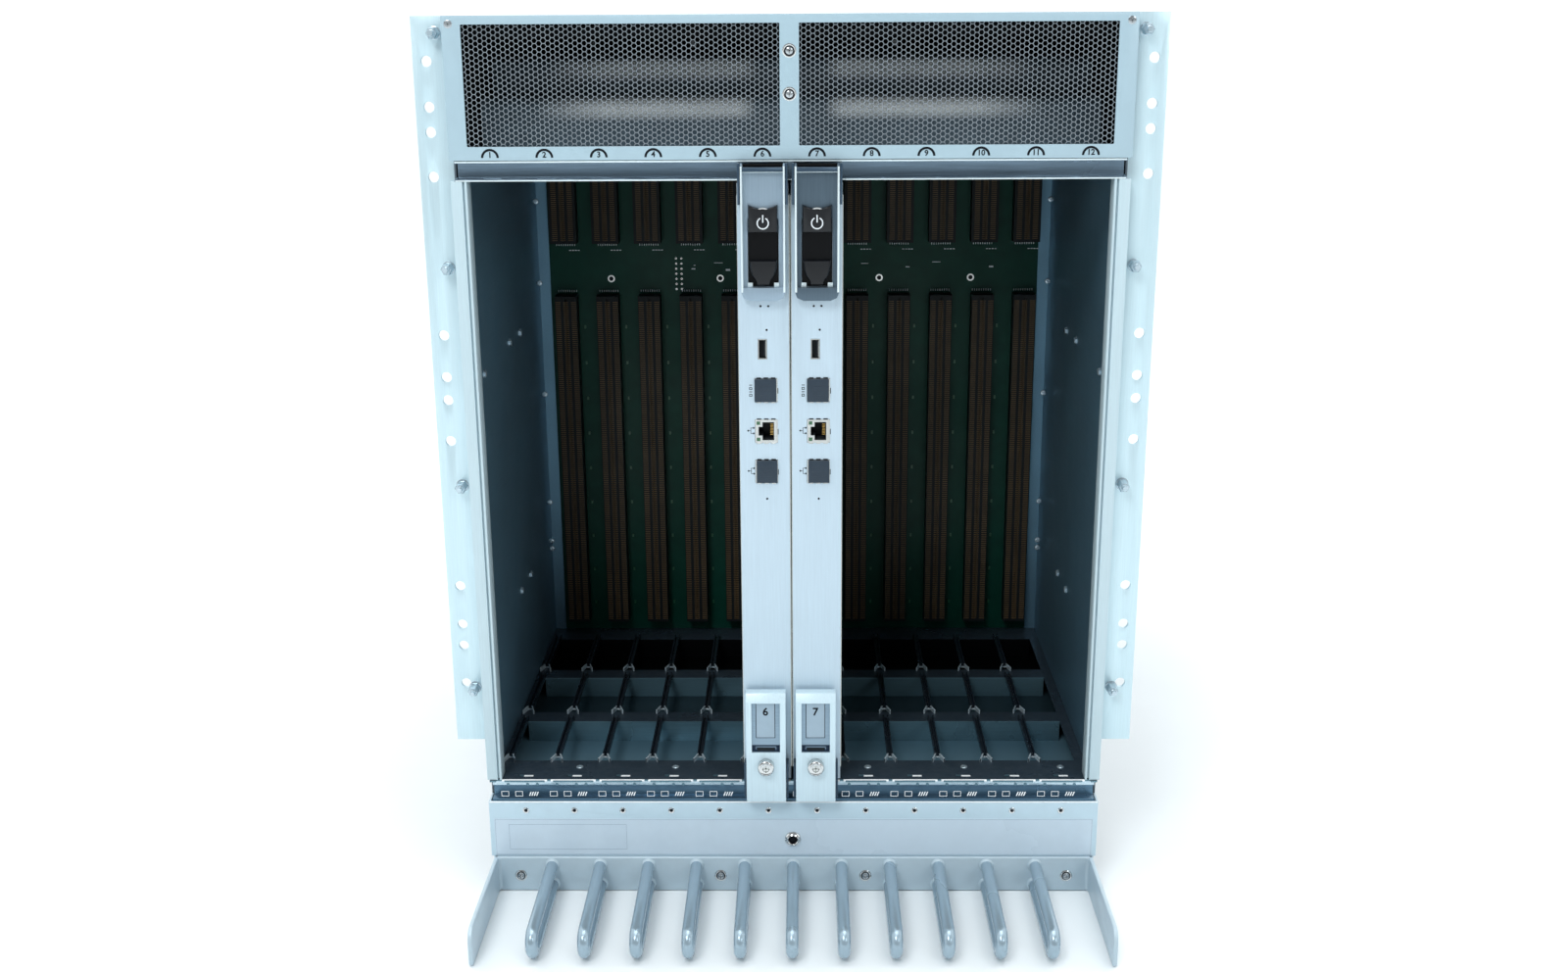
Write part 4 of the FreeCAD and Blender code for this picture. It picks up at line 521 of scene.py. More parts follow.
def addPlate(bm, outline, y, tag=0):
    # A flat plate from an outline of (x, z) points, between two depths.
    loft(bm, [ring(bm, [(x, depth, z) for x, z in outline]) for depth in y], tag)


def addFrame(bm, x, z, line, y, tag=0):
    # A thin rectangular frame lying on a surface.
    for wide, tall in ((x, (z[0], z[0] + line)), (x, (z[1] - line, z[1])),
                       ((x[0], x[0] + line), (z[0] + line, z[1] - line)),
                       ((x[1] - line, x[1]), (z[0] + line, z[1] - line))):
        block(bm, (0, 0, 0), wide, y, tall, 0, tag)


def arcPoints(centre, radius, start, end, steps):
    # Points along part of a circle, in degrees from the right.
    angles = [math.radians(start + (end - start) * i / steps) for i in range(steps + 1)]
    return [(centre[0] + radius * math.cos(a), centre[1] + radius * math.sin(a)) for a in angles]


def addArc(bm, centre, radius, line, start, end, y, steps=16):
    # A flat band that follows part of a circle.
    near, far = (arcPoints(centre, radius + side * line / 2, start, end, steps) for side in (-1, 1))
    for i in range(steps):
        addPlate(bm, [near[i], far[i], far[i + 1], near[i + 1]], y)


def meshOf(holder):
    # What an object's curve or modifiers make, as a plain mesh; the object is removed.
    bpy.context.view_layer.update()
    mesh = bpy.data.meshes.new_from_object(holder.evaluated_get(bpy.context.evaluated_depsgraph_get()))
    bpy.data.objects.remove(holder)
    return mesh


def figures(text, size, place):
    # Figures turned to a mesh and set on a face; place is their centre.
    curve = bpy.data.curves.new("figures", "FONT")
    curve.body = text
    curve.size, curve.offset, curve.extrude = metres(size, size * 0.025, 0.06)
    curve.align_x, curve.align_y = "CENTER", "CENTER"
    curve.resolution_u = 3
    mesh = meshOf(newObject("figures", curve))
    mesh.transform(standing(place))
    return mesh


def softened(node, finish, width, steps=2, paint=None):
    # A merged copy of a CAD node with rounded edges, which replaces it; paint picks the finish of each face.
    bm = bmesh.new()
    bm.from_mesh(nodes[node].data)
    bmesh.ops.remove_doubles(bm, verts=bm.verts[:], dist=1e-6)
    bmesh.ops.dissolve_limit(bm, angle_limit=math.radians(1.0), verts=bm.verts[:], edges=bm.edges[:])
    limit = math.radians(25)
    bevel(bm, [e for e in bm.edges if len(e.link_faces) == 2 and e.calc_face_angle(0) > limit], width, steps)
    bmesh.ops.triangulate(bm, faces=[f for f in bm.faces if len(f.verts) > 4])
    piece = keep(node + "Sheet", bm, finish, nodes[node]["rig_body"], True, (node,))
    for face in piece.data.polygons if paint else ():
        face.material_index = int(paint(face.center / mm, face.normal))


def dress(finish, *names):
    # Gives CAD nodes that keep their shape a finish.
    for name in names:
        nodes[name].data.materials.clear()
        nodes[name].data.materials.append(finishes[finish])


# geometry node trees

def growTree(name, **inputs):
    inputs = {label.replace("_", " "): value for label, value in inputs.items()}
    return newTree(name, "GeometryNodeTree", {"Geometry": "Geometry", **inputs, "Finish": "Material"},
                   {"Geometry": "Geometry"})


def vector(tree, x=0.0, y=0.0, z=0.0):
    return step(tree, "ShaderNodeCombineXYZ", X=x, Y=y, Z=z).outputs[0]


def closeTree(tree, geometry, finish, leave):
    # Every tree ends by realizing its instances and setting the finish.
    whole = step(tree, "GeometryNodeRealizeInstances", Geometry=geometry).outputs["Geometry"]
    feed(tree, step(tree, "GeometryNodeSetMaterial", Geometry=whole, Material=finish).outputs["Geometry"],
         leave[0])
    return tree


def grow(tree, source, finish, **values):
    # Runs a tree once with these inputs and gives back a plain mesh.
    holder = newObject("grower", source or bpy.data.meshes.new("seed"))
    modifier = holder.modifiers.new("grow", "NODES")
    modifier.node_group = tree
    sockets = {i.name: i.identifier for i in tree.interface.items_tree if i.item_type == "SOCKET"
               and i.in_out == "INPUT"}
    for label, value in {**values, "Finish": finishes[finish]}.items():
        modifier[sockets[label.replace("_", " ")]] = value
    return meshOf(holder)


def meshLine(tree, count, offset, **start):
    return step(tree, "GeometryNodeMeshLine", {"mode": "OFFSET"}, Count=count, Offset=offset,
                **start).outputs[0]


def rowsTree():
    # Repeats one part along two directions.
    tree, entry, leave = growTree("partRows", Start=(0.0, 0.0, 0.0), Count=12, Spacing=(0.035, 0.0, 0.0),
                                  Rows=1,
                                  Row_Spacing=(0.0, 0.0, 0.035))
    line = meshLine(tree, entry["Count"], entry["Spacing"])
    first = step(tree, "GeometryNodeInstanceOnPoints", Points=line, Instance=entry["Geometry"])
    rows = meshLine(tree, entry["Rows"], entry["Row Spacing"], Start_Location=entry["Start"])
    second = step(tree, "GeometryNodeInstanceOnPoints", Points=rows, Instance=first.outputs[0])
    return closeTree(tree, second.outputs[0], entry["Finish"], leave)


def pointsTree():
    # Sets one part on each point of the mesh that it is given.
    tree, entry, leave = growTree("partsOnPoints", Part="Object", Turn=(0.0, 0.0, 0.0))
    part = step(tree, "GeometryNodeObjectInfo", Object=entry["Part"])
    placed = step(tree, "GeometryNodeInstanceOnPoints", Points=entry["Geometry"],
                  Instance=part.outputs["Geometry"],
                  Rotation=entry["Turn"])
    return closeTree(tree, placed.outputs[0], entry["Finish"], leave)


def crossTree():
    # Cuts a cross recess into the top of a screw head.
    tree, entry, leave = growTree("crossRecess", Length=0.0036, Width=0.0009, Depth=0.002, Top=0.002)
    bars = [step(tree, "GeometryNodeMeshCube",
                 Size=vector(tree, entry[wide], entry[tall], entry["Depth"])).outputs[0]
            for wide, tall in (("Length", "Width"), ("Width", "Length"))]
    lifted = [step(tree, "GeometryNodeTransform", Geometry=bar,
                   Translation=vector(tree, z=entry["Top"])).outputs[0]
              for bar in bars]
    cutter = step(tree, "GeometryNodeMeshBoolean", {"operation": "DIFFERENCE"})
    feed(tree, entry["Geometry"], cutter.inputs[0])
    for bar in lifted:
        feed(tree, bar, cutter.inputs[1])
    return closeTree(tree, cutter.outputs[0], entry["Finish"], leave)


partRows, partsOnPoints, crossRecess = rowsTree(), pointsTree(), crossTree()


def lined(part, finish, start, count, spacing, rows=1, rowSpacing=(0, 0, 0)):
    # A part repeated in rows, as one mesh.
    return grow(partRows, partMesh(part), finish, Start=metres(*start), Count=count, Spacing=metres(*spacing),
                Rows=rows, Row_Spacing=metres(*rowSpacing))


def placed(part, finish, places, way="front"):
    # A part set on each of these places and looking one way, as one mesh.
    holder = newObject("part", partMesh(part))
    seeds = bpy.data.meshes.new("points")
    seeds.from_pydata([metres(*place) for place in places], [], [])
    whole = grow(partsOnPoints, seeds, finish, Part=holder, Turn=[math.radians(a) for a in ways[way]])
    bpy.data.objects.remove(holder)
    return whole


def recessed(part, finish, length, width, depth, top):
    length, width, depth, top = metres(length, width, depth, top)
    return grow(crossRecess, partMesh(part), finish, Length=length, Width=width, Depth=depth, Top=top)


def crossHead(radius, height, finish="screwSteel"):
    # A low domed screw head with a cross recess.
    dome = turned([(0, 0), (radius, 0), (radius, height * 0.35), (radius * 0.86, height * 0.75),
                   (radius * 0.55, height),
                   (0, height)], 20)
    return recessed(dome, finish, radius * 1.15, radius * 0.26, height * 1.3, height)


# outer sheets, rails and posts

sheets = {
    "side_wall_left": ("shellCoat", 0.5), "side_wall_right": ("shellCoat", 0.5),
    "top_cover": ("shellCoat", 0.5),
    "bottom_pan": ("panelCoat", 0.4), "vent_bezel": ("paleCoat", 0.5), "upright_left": ("postCoat", 0.4),
    "upright_right": ("postCoat", 0.4), "top_rail": ("railSteel", 0.3), "lower_panel": ("panelCoat", 0.45),
    "rack_ear_left": ("zincEar", 0.35), "rack_ear_right": ("zincEar", 0.35), "rear_bay": ("rearCoat", 0.4),
}
# where each band of painted shade on the tray begins and ends, and its colour: darker towards the back and
# near black deep inside
trayPaintedShade = ((30, 95, (84, 116, 132)), (104, 118, (40, 58, 66)), (188, 206, (6, 8, 9)))
railLedge, floorDeep = 10.7, 200


def trayFinish():
    # the tray's coat is bright near the front and painted darker towards the back: painted shade where less
    # light reaches
    tree, parts = opened("trayFloor")
    for near, far, colour in trayPaintedShade:
        overlay(tree, remap(tree, parts["Y"], (front + near) * mm, (front + far) * mm), colour)


def looksInside(node):
    if node == "top_cover":
        return lambda c, n: n.z < -0.5 or n.y < -0.5
    if node == "rear_bay":
        return lambda c, n: n.y < -0.5
    return lambda c, n: node.startswith("side_wall") and n.x * c.x < 0 and abs(n.x) > 0.5


def buildSheets():
    for node, (finish, width) in sheets.items():
        # faces that look into the box, and the top cover's front face, are painted near black: painted shade
        softened(node, [finish, "deepBlack"], width, paint=looksInside(node))
    ledge = box("bottom_rail")[0].z + railLedge
    softened("bottom_rail", ["zincRail", "darkRail"], 0.25, paint=lambda c, n: c.z < ledge)
    # the cage floor is painted dark on top and pale on the folds under its bars, as painted shade and painted
    # light on one sheet, and near black deep inside, as painted shade
    softened("cage_floor", ["floorShadedTop", "floorLitFold", "deepBlack"], 0.25,
             paint=lambda c, n: (n.y < -0.5) * (2 if c.y > front + floorDeep else 1))
    trayFinish()
    dress("wallSheet", "cage_wall_left", "cage_wall_right")
    # the cage ceiling is painted near black: painted shade
    dress("deepBlack", "cage_ceiling")
    dress("trayFloor", "plenum_tray")
    dress("guidePlastic", "lower_card_guides", "upper_card_guides")
    dress("solderMask", "midplane_board")
    print("sheets", len(sheets))


# stepped duct sheet that shows through the vent mesh

# the bright tone, bands and fades below set the painted highlight on the duct's folds
duct = {"inner": 24, "innerFade": 12, "outer": 130, "outerFade": 48, "bandHigh": 11,
        "bright": (252, 255, 255),
        "bend": 8, "sheet": 1.2, "drop": 25, "back": 52}


def ductFinish():
    # a painted highlight on the upper part of each fold, from the centre bar out towards the side walls
    tree, parts = opened("ductZinc")

    def fade(value, start, end):
        return remap(tree, value, start * mm, end * mm)

    across = calc(tree, "ABSOLUTE", parts["X"])
    inner = fade(across, duct["inner"], duct["inner"] + duct["innerFade"])
    outer = fade(across, duct["outer"] + duct["outerFade"], duct["outer"])
    highlightBands = []
    for fold in (box("air_baffle")[1].z - duct["drop"], box("air_baffle")[1].z):
        foot = fold - duct["bandHigh"]
        highlightBands.append(product(tree, fade(parts["Z"], foot - 6, foot + 1),
                             fade(parts["Z"], fold + 0.5, fold - 2.5)))
    band = calc(tree, "ADD", *highlightBands, use_clamp=True)
    overlay(tree, product(tree, product(tree, inner, outer), band), duct["bright"])


def buildDuct():
    ductFinish()
    low, high = box("air_baffle")
    bend, sheet, back = duct["bend"], duct["sheet"], low.y + duct["back"]
    tread = high.z - duct["drop"]
    line = [(low.y, low.z), *arcPoints((low.y + bend, tread - bend), bend, 180, 90, 8)]
    line += [(back - 2, tread), (back - 0.6, tread + 0.6), (back, tread + 2)]
    line += [*arcPoints((back + bend, high.z - bend), bend, 180, 90, 8), (high.y, high.z)]
    hair = 0.001
    under = [(y + (sheet if z < high.z - hair else 0), z - (sheet if z > low.z + hair else 0)) for y,
             z in line[::-1]]
    bm = bmesh.new()
    sides = [ring(bm, [(x, y, z) for y, z in line + under]) for x in (low.x, high.x)]
    loft(bm, sides, caps=False)
    for side in sides:
        for i in range(len(line) - 1):
            bm.faces.new([side[i], side[i + 1], side[-2 - i], side[-1 - i]])
    bmesh.ops.recalc_face_normals(bm, faces=bm.faces[:])
    keep("ductSheet", bm, "ductZinc", smooth=True, replaced=("air_baffle",))
    print("duct")


# vent mesh behind the bezel

ventMesh = {"columns": 73, "rows": 23, "columnSpacing": 2.86, "rowPitch": 3.45, "strand": 0.145,
            "thickness": 0.5,
            "middleBar": 3.2}


def perforationTree():
    # A sheet of hexagon holes in staggered columns.
    tree, entry, leave = growTree("hexPerforation", Columns=73, Rows=23, Column_Spacing=0.00286,
                                  Row_Pitch=0.00345,
                                  Strand=0.2, Thickness=0.0007, Centre=(0.0, 0.0, 0.0))
    columns, rows, spacing, pitch = (entry[label]
                                     for label in ("Columns", "Rows", "Column Spacing", "Row Pitch"))
    radius = calc(tree, "DIVIDE", spacing, 1.5)
    tile = step(tree, "GeometryNodeMeshCircle", {"fill_type": "NGON"}, Vertices=6, Radius=radius)
    inset = step(tree, "GeometryNodeExtrudeMesh", {"mode": "FACES"}, Mesh=tile.outputs[0], Offset_Scale=0.0,
                 Individual=True)
    shrunk = step(tree, "GeometryNodeScaleElements", {"domain": "FACE"}, Geometry=inset.outputs["Mesh"],
                  Selection=inset.outputs["Top"], Scale=calc(tree, "SUBTRACT", 1.0, entry["Strand"]))
    hole = step(tree, "GeometryNodeDeleteGeometry", {"domain": "FACE"}, Geometry=shrunk.outputs[0],
                Selection=inset.outputs["Top"])
    stretch = calc(tree, "DIVIDE", pitch, calc(tree, "MULTIPLY", spacing, 2 / math.sqrt(3)))
    cell = step(tree, "GeometryNodeTransform", Geometry=hole.outputs[0],
                Scale=vector(tree, 1.0, stretch, 1.0))
    grid = step(tree, "GeometryNodeMeshGrid", Vertices_X=columns, Vertices_Y=rows,
                Size_X=calc(tree, "MULTIPLY", spacing, calc(tree, "SUBTRACT", columns, 1)),
                Size_Y=calc(tree, "MULTIPLY", pitch, calc(tree, "SUBTRACT", rows, 1)))
    index = step(tree, "GeometryNodeInputIndex").outputs[0]
    column = calc(tree, "FLOOR", calc(tree, "DIVIDE", calc(tree, "ADD", index, 0.5), rows))
    shift = calc(tree, "MULTIPLY", calc(tree, "MODULO", column, 2.0), calc(tree, "MULTIPLY", pitch, 0.5))
    staggered = step(tree, "GeometryNodeSetPosition", Geometry=grid.outputs[0], Offset=vector(tree, y=shift))
    tiles = step(tree, "GeometryNodeInstanceOnPoints", Points=staggered.outputs[0], Instance=cell.outputs[0])
    whole = step(tree, "GeometryNodeRealizeInstances", Geometry=tiles.outputs[0])
    sheet = step(tree, "GeometryNodeMergeByDistance", Geometry=whole.outputs[0], Distance=0.00002)
    thick = step(tree, "GeometryNodeExtrudeMesh", {"mode": "FACES"}, Mesh=sheet.outputs[0], Individual=False,
                 Offset=vector(tree, z=entry["Thickness"]), Offset_Scale=1.0)
    both = step(tree, "GeometryNodeJoinGeometry")
    feed(tree, thick.outputs[0], both.inputs[0])
    feed(tree, step(tree, "GeometryNodeFlipFaces", Mesh=sheet.outputs[0]).outputs[0], both.inputs[0])
    closed = step(tree, "GeometryNodeMergeByDistance", Geometry=both.outputs[0], Distance=0.00002)
    stood = step(tree, "GeometryNodeTransform", Geometry=closed.outputs[0], Translation=entry["Centre"],
                 Rotation=(math.radians(90), 0, 0))
    return closeTree(tree, stood.outputs[0], entry["Finish"], leave)


def buildVentMesh():
    low, high = box("vent_screens")
    tree = perforationTree()
    middleZ = (low.z + high.z) / 2 - ventMesh["rowPitch"] / 4
    middleX = (high.x + ventMesh["middleBar"]) / 2
    spacing, pitch, thickness = metres(ventMesh["columnSpacing"], ventMesh["rowPitch"], ventMesh["thickness"])
    halves = [grow(tree, None, "meshStrand", Columns=ventMesh["columns"], Rows=ventMesh["rows"],
                   Column_Spacing=spacing, Row_Pitch=pitch, Strand=ventMesh["strand"], Thickness=thickness,
                   Centre=metres(side * middleX, high.y, middleZ)) for side in (-1, 1)]
    piece = keep("ventMesh", halves, replaced=("vent_screens",))
    print("vent mesh", len(piece.data.polygons))


# slot numbers over the card openings

slotMarks = {"arcRadius": 5.0, "arcLine": 1.5, "arcHeight": 524.6, "numberHeight": 526.3, "numberSize": 5.1}


def buildSlotMarks():
    bm = bmesh.new()
    for slot in slots:
        addArc(bm, (slotCentre(slot), slotMarks["arcHeight"]), slotMarks["arcRadius"], slotMarks["arcLine"],
               0, 180,
               (front - 0.06, front + 0.1))
    numbers = [figures(str(slot), slotMarks["numberSize"],
                       (slotCentre(slot), front - 0.02, slotMarks["numberHeight"]))
               for slot in slots]
    keep("slotNumbers", [partMesh(bm)] + numbers, "ink")
    print("slot numbers")


# screws on the bezel and the comb

panelScrews = {"radius": 3.4, "height": 1.9, "barPitch": 26.5, "cornerRadius": 2.6, "cornerHeight": 0.35}


def buildPanelScrews():
    low, high = box("panel_screws")
    edge = panelScrews["radius"]
    combFace = box("cable_comb")[1].y - comb["plate"]
    outer, inner, top = high.x - edge, 1.5 * slotPitch, high.z - edge
    places = [(x, combFace, low.z + edge) for x in (-outer, -inner, inner, outer)]
    places += [(0, front, top), (0, front, top - panelScrews["barPitch"])]
    gap = turned([(0, 0), (edge * 0.98, 0), (edge * 0.98, 0.12), (0, 0.12)])
    seat = turned([(edge * 0.96, 0), (edge * 0.96, 0.3), (edge * 1.1, 0.4), (edge * 1.3, 0),
                   (edge * 0.96, 0)])
    heads = placed(crossHead(edge * 0.78, panelScrews["height"]), "screwSteel", places)
    keep("panelScrews", [heads, placed(gap, "ink", places), placed(seat, "chrome", places)], smooth=True,
         replaced=("panel_screws",))
    corners = [(side * (halfWidth - 4.6), front, chassisTop - 5.2) for side in (-1, 1)]
    sunk = crossHead(panelScrews["cornerRadius"], panelScrews["cornerHeight"])
    keep("bezelCornerScrews", placed(sunk, "screwSteel", corners), smooth=True)
    print("panel screws")


# cable comb

comb = {"plate": 3.0, "edge": 0.8, "rodRadius": 4.25, "rodSides": 20, "bend": 7.5, "rodHeight": 13.2,
        "weldRadius": 5.4, "flangeCorner": 9.0}


def rodTree():
    # Sweeps a round rod along a path and repeats it across the comb.
    tree, entry, leave = growTree("combRods", Radius=0.004, Sides=20, Count=11, Start=(0.0, 0.0, 0.0),
                                  Spacing=(0.035, 0.0, 0.0))
    path = step(tree, "GeometryNodeMeshToCurve", Mesh=entry["Geometry"]).outputs[0]
    circle = step(tree, "GeometryNodeCurvePrimitiveCircle", Resolution=entry["Sides"],
                  Radius=entry["Radius"]).outputs[0]
    rod = step(tree, "GeometryNodeCurveToMesh", Curve=path, Profile_Curve=circle, Fill_Caps=True).outputs[0]
    line = meshLine(tree, entry["Count"], entry["Spacing"], Start_Location=entry["Start"])
    row = step(tree, "GeometryNodeInstanceOnPoints", Points=line, Instance=rod)
    return closeTree(tree, row.outputs[0], entry["Finish"], leave)


def combFlange(bm, side, plateFront):
    low, high = box("cable_comb")
    corner = comb["flangeCorner"]
    inner, outer = side * (high.x - comb["plate"]), side * high.x
    outline = [(high.y - 0.5, low.z), (high.y - 0.5, high.z)]
    outline += arcPoints((low.y + corner, high.z - corner), corner, 90, 180, 6)
    outline += [(low.y, low.z + 2), (low.y + 0.6, low.z + 0.6), (low.y + 2, low.z)]
    part = bmesh.new()
    loft(part, [ring(part, [(x, y, z) for y, z in outline]) for x in sorted((inner, outer))])
    bevel(part, [e for e in part.edges if abs(e.verts[0].co.x - e.verts[1].co.x) < 1e-7], comb["edge"], 3)
    joinInto(bm, part)
    # inside fillet where the end flange is folded from the plate
    fillet = [(0, 0), (2.2, 0), (1.0, 0.35), (0.35, 1.0), (0, 2.2)]
    part = bmesh.new()
    loft(part, [ring(part, [(inner - side * a, plateFront - b, z) for a, b in fillet])
                for z in (low.z + 1, high.z - 1)])
    joinInto(bm, part)


def buildComb():
    low, high = box("cable_comb")
    plateFront = high.y - comb["plate"]
    radius, bend, height, weld = (comb[key] for key in ("rodRadius", "bend", "rodHeight", "weldRadius"))
    bm = bmesh.new()
    block(bm, (0, 0, 0), (low.x, high.x), (plateFront, high.y), (low.z, high.z), comb["edge"], steps=3)
    for side in (-1, 1):
        combFlange(bm, side, plateFront)
    keep("combBracket", bm, "combCoat", smooth=True, replaced=("cable_comb",))
    path = [(plateFront + 1, height + bend), *arcPoints((low.y + radius + bend, height), bend, 90, 270, 14),
            (plateFront + 1, height - bend)]
    seed = bpy.data.meshes.new("rodPath")
    seed.from_pydata([metres(0, y, z) for y, z in path], [(i, i + 1) for i in range(len(path) - 1)], [])
    first = -5 * slotPitch
    rods = grow(rodTree(), seed, "combRod", Radius=radius * mm, Sides=comb["rodSides"], Count=slotCount - 1,
                Start=metres(first, 0, 0), Spacing=metres(slotPitch, 0, 0))
    bead = turned([(0, -0.3), (weld, -0.3), (weld, 0.3), (weld - 0.6, 1.0), (radius, 1.6), (0, 1.6)], 20)
    beads = placed(bead, "combCoat", [(first + i * slotPitch, plateFront, height + side * bend)
                                      for i in range(slotCount - 1) for side in (1, -1)])
    keep("combRods", [rods, beads], smooth=True, replaced=("cable_comb",))
    print("cable comb")


# lower panel and ground jack

lowerPanel = {"holeHeight": 63.0, "holeRadius": 2.1, "filmLow": 27.4, "filmHigh": 56.5, "film": 0.12,
              "line": 0.22,
              "label": ((-205, -120), (32, 52))}


def buildLowerPanel():
    low, high = box("lower_panel")
    radius, filmLow, filmHigh = (lowerPanel[key] for key in ("holeRadius", "filmLow", "filmHigh"))
    # each hole is a dark disc in a chrome rim; the disc is painted shade in the hole
    hole = turned([(0, 0.03), (radius * 0.62, 0.03), (radius * 0.7, 0), (0, -0.2)], 18)
    rim = turned([(radius * 0.6, 0.02), (radius, 0.16), (radius * 1.12, 0), (radius * 0.6, -0.2),
                  (radius * 0.6, 0.02)], 18)
    places = [(slotCentre(slot), low.y, lowerPanel["holeHeight"]) for slot in slots]
    keep("panelHoles", [placed(hole, "ink", places), placed(rim, "chrome", places)], smooth=True)
    bm = bmesh.new()
    edge, face = high.x - 3.2, low.y - lowerPanel["film"]
    block(bm, (0, 0, 0), (-edge, edge), (face, low.y + 0.1), (filmLow, filmHigh), 0.05, steps=1)
    # the film's border, and a plain rectangle for an asset number, left blank
    for x, z in (((0.6 - edge, edge - 0.6), (filmLow + 0.5, filmHigh - 0.5)), lowerPanel["label"]):
        addFrame(bm, x, z, lowerPanel["line"], (face - 0.03, face + 0.03), 1)
    keep("panelFilm", bm, ["overlayFilm", "recessCoat"])
    # a bright line along the panel's top edge: painted highlight
    lip = bmesh.new()
    block(lip, (0, low.y, high.z), (low.x + 0.5, high.x - 0.5), (-0.2, 0.2), (-0.9, -0.1), 0.15)
    keep("panelLip", lip, "brightEdge", smooth=True)
    print("lower panel")


jack = {"bore": 3.0, "depth": 9.0, "sides": 32}


def buildGroundJack():
    low, high = box("ground_jack")
    proud, radius, bore, depth = front - low.y, (high.x - low.x) / 2, jack["bore"], jack["depth"]
    nut = [(bore + 0.1, -depth), (bore + 0.1, proud - 0.5), (bore + 0.6, proud), (radius * 0.66, proud),
           (radius * 0.78, proud - 0.5), (radius * 0.8, proud * 0.45), (radius * 0.97, proud * 0.35),
           (radius, 0),
           (radius * 0.8, -0.4), (radius * 0.8, -depth), (bore + 0.1, -depth)]
    # the bore's lining is near black: painted shade inside the bore
    lining = [(0, 0.2), (bore + 0.15, 0.2), (bore + 0.15, proud - 0.7), (bore, proud - 0.6), (bore, 0.4),
              (0, 0.4)]
    bm = bmesh.new()
    for tag, profile in enumerate((nut, lining)):
        addTurned(bm, profile, jack["sides"], tag, (0, front, (low.z + high.z) / 2))
    keep("groundJack", bm, ["chrome", "ink"], smooth=True, replaced=("ground_jack",))
    print("ground jack")


# bolts of the rack ears

earBolt = {"hex": 4.0, "washer": 4.4, "pitch": 149.8, "count": 4, "lowest": 3.8}


def buildEarBolts():
    low, high = box("ear_bolts")
    earFace = box("rack_ear_left")[0].y
    tall, wide, washer = earFace - low.y, earBolt["hex"], earBolt["washer"]
    parts = (
        turned([(0, 0), (wide * 0.98, 0), (wide, 0.3), (wide, tall * 0.62), (wide * 0.8, tall * 0.74),
                (0, tall * 0.74)], 6),
        turned([(0, 0), (washer, 0), (washer, 0.5), (wide * 0.9, 0.8), (0, 0.8)]),
        # the stud's end, with its thread
        turned([(0, 0), *((2.3 if i % 2 else 2.0, tall * 0.7 + i * 0.28) for i in range(9)), (1.7, tall),
                (0, tall)], 16))
    places = [(side * (high.x - washer), earFace, low.z + earBolt["lowest"] + earBolt["pitch"] * i)
              for side in (-1, 1) for i in range(earBolt["count"])]
    keep("earBolts", [placed(part, "boltSteel", places) for part in parts], smooth=True,
         replaced=("ear_bolts",))
    print("ear bolts")


# midplane board and its connectors

midplane = {"ringHeight": 401.0, "ringRadius": 3.0, "ringPlaces": (-153.5, -61.6, 72.2, 148.9),
            "tickPitch": 1.9,
            "ticks": 9, "tickHeights": (429.6, 390.6, 96.2), "rib": 1.65, "ribProud": 0.22, "ribColumn": 6.6,
            "ribColumns": 3, "ribWidth": 4.3, "connectorShift": 1.2,
            # middle, width and height of the plain marks
            "marks": ((-63, 414, 7.2, 0.5), (-55, 408, 3.6, 1.6), (-84, 409, 3.2, 0.8), (-83, 412, 1.6, 0.6),
                      (60, 413, 6, 0.5), (96, 410, 3.4, 0.8), (120, 414, 7, 0.5), (166, 410, 3.6, 1.4))}


def buildMidplane():
    face, radius = box("midplane_board")[0].y, midplane["ringRadius"]
    inner, first = radius * 0.62, slotCentre(1) + midplane["connectorShift"]
    washer = turned([(inner, 0), (inner, 0.12), (radius, 0.12), (radius, 0), (inner, 0)], 28)
    # a dark disc in each washer: painted shade in the hole
    hole = turned([(0, 0), (inner, 0), (inner, 0.05), (0, 0.05)], 28)
    places = [(x, face, midplane["ringHeight"]) for x in midplane["ringPlaces"]]
    via = turned([(0.45, 0), (0.45, 0.08), (0.85, 0.08), (0.85, 0), (0.45, 0)], 10)
    parts = [placed(washer, "tinShield", places), placed(hole, "ink", places),
             lined(placed(via, "tinShield", [(0, 0, 0)]), "tinShield", (-98.5, face, 392), 2, (4.4, 0, 0), 7,
                   (0, 0, 4.3))]
    ticks, pitch = midplane["ticks"], midplane["tickPitch"]
    tick = partMesh(oneBlock((-0.28, 0.28), (-0.06, 0.02), (-0.9, 0.9)))
    for z in midplane["tickHeights"]:
        row = lined(tick, "paleInk", ((1 - ticks) / 2 * pitch, 0, 0), ticks, (pitch, 0, 0))
        parts.append(lined(row, "paleInk", (first, face, z), slotCount, (slotPitch, 0, 0)))
    marks = bmesh.new()
    for x, z, wide, tall in midplane["marks"]:
        block(marks, (x, face, z), (-wide / 2, wide / 2), (-0.05, 0.02), (-tall / 2, tall / 2))
    for slot in slots:
        for part in range(4):
            block(marks, (slotCentre(slot) + 4 + part * 2.4, face, 424.6), (0, 1.7), (-0.05, 0.02), (0, 0.7))
    keep("midplaneMarks", parts + [partMesh(marks, "paleInk")])
    # chip capacitors in the strips between the connectors
    chip = oneBlock((-0.8, 0.8), (-0.9, 0.02), (-1.4, 1.4), 0.15)
    keep("midplaneChips", lined(chip, "boardGreen", (slotCentre(1) + 15, face, 112), slotCount - 1,
                                (slotPitch, 0, 0),
                                9, (0, 0, 31)))
    print("midplane")


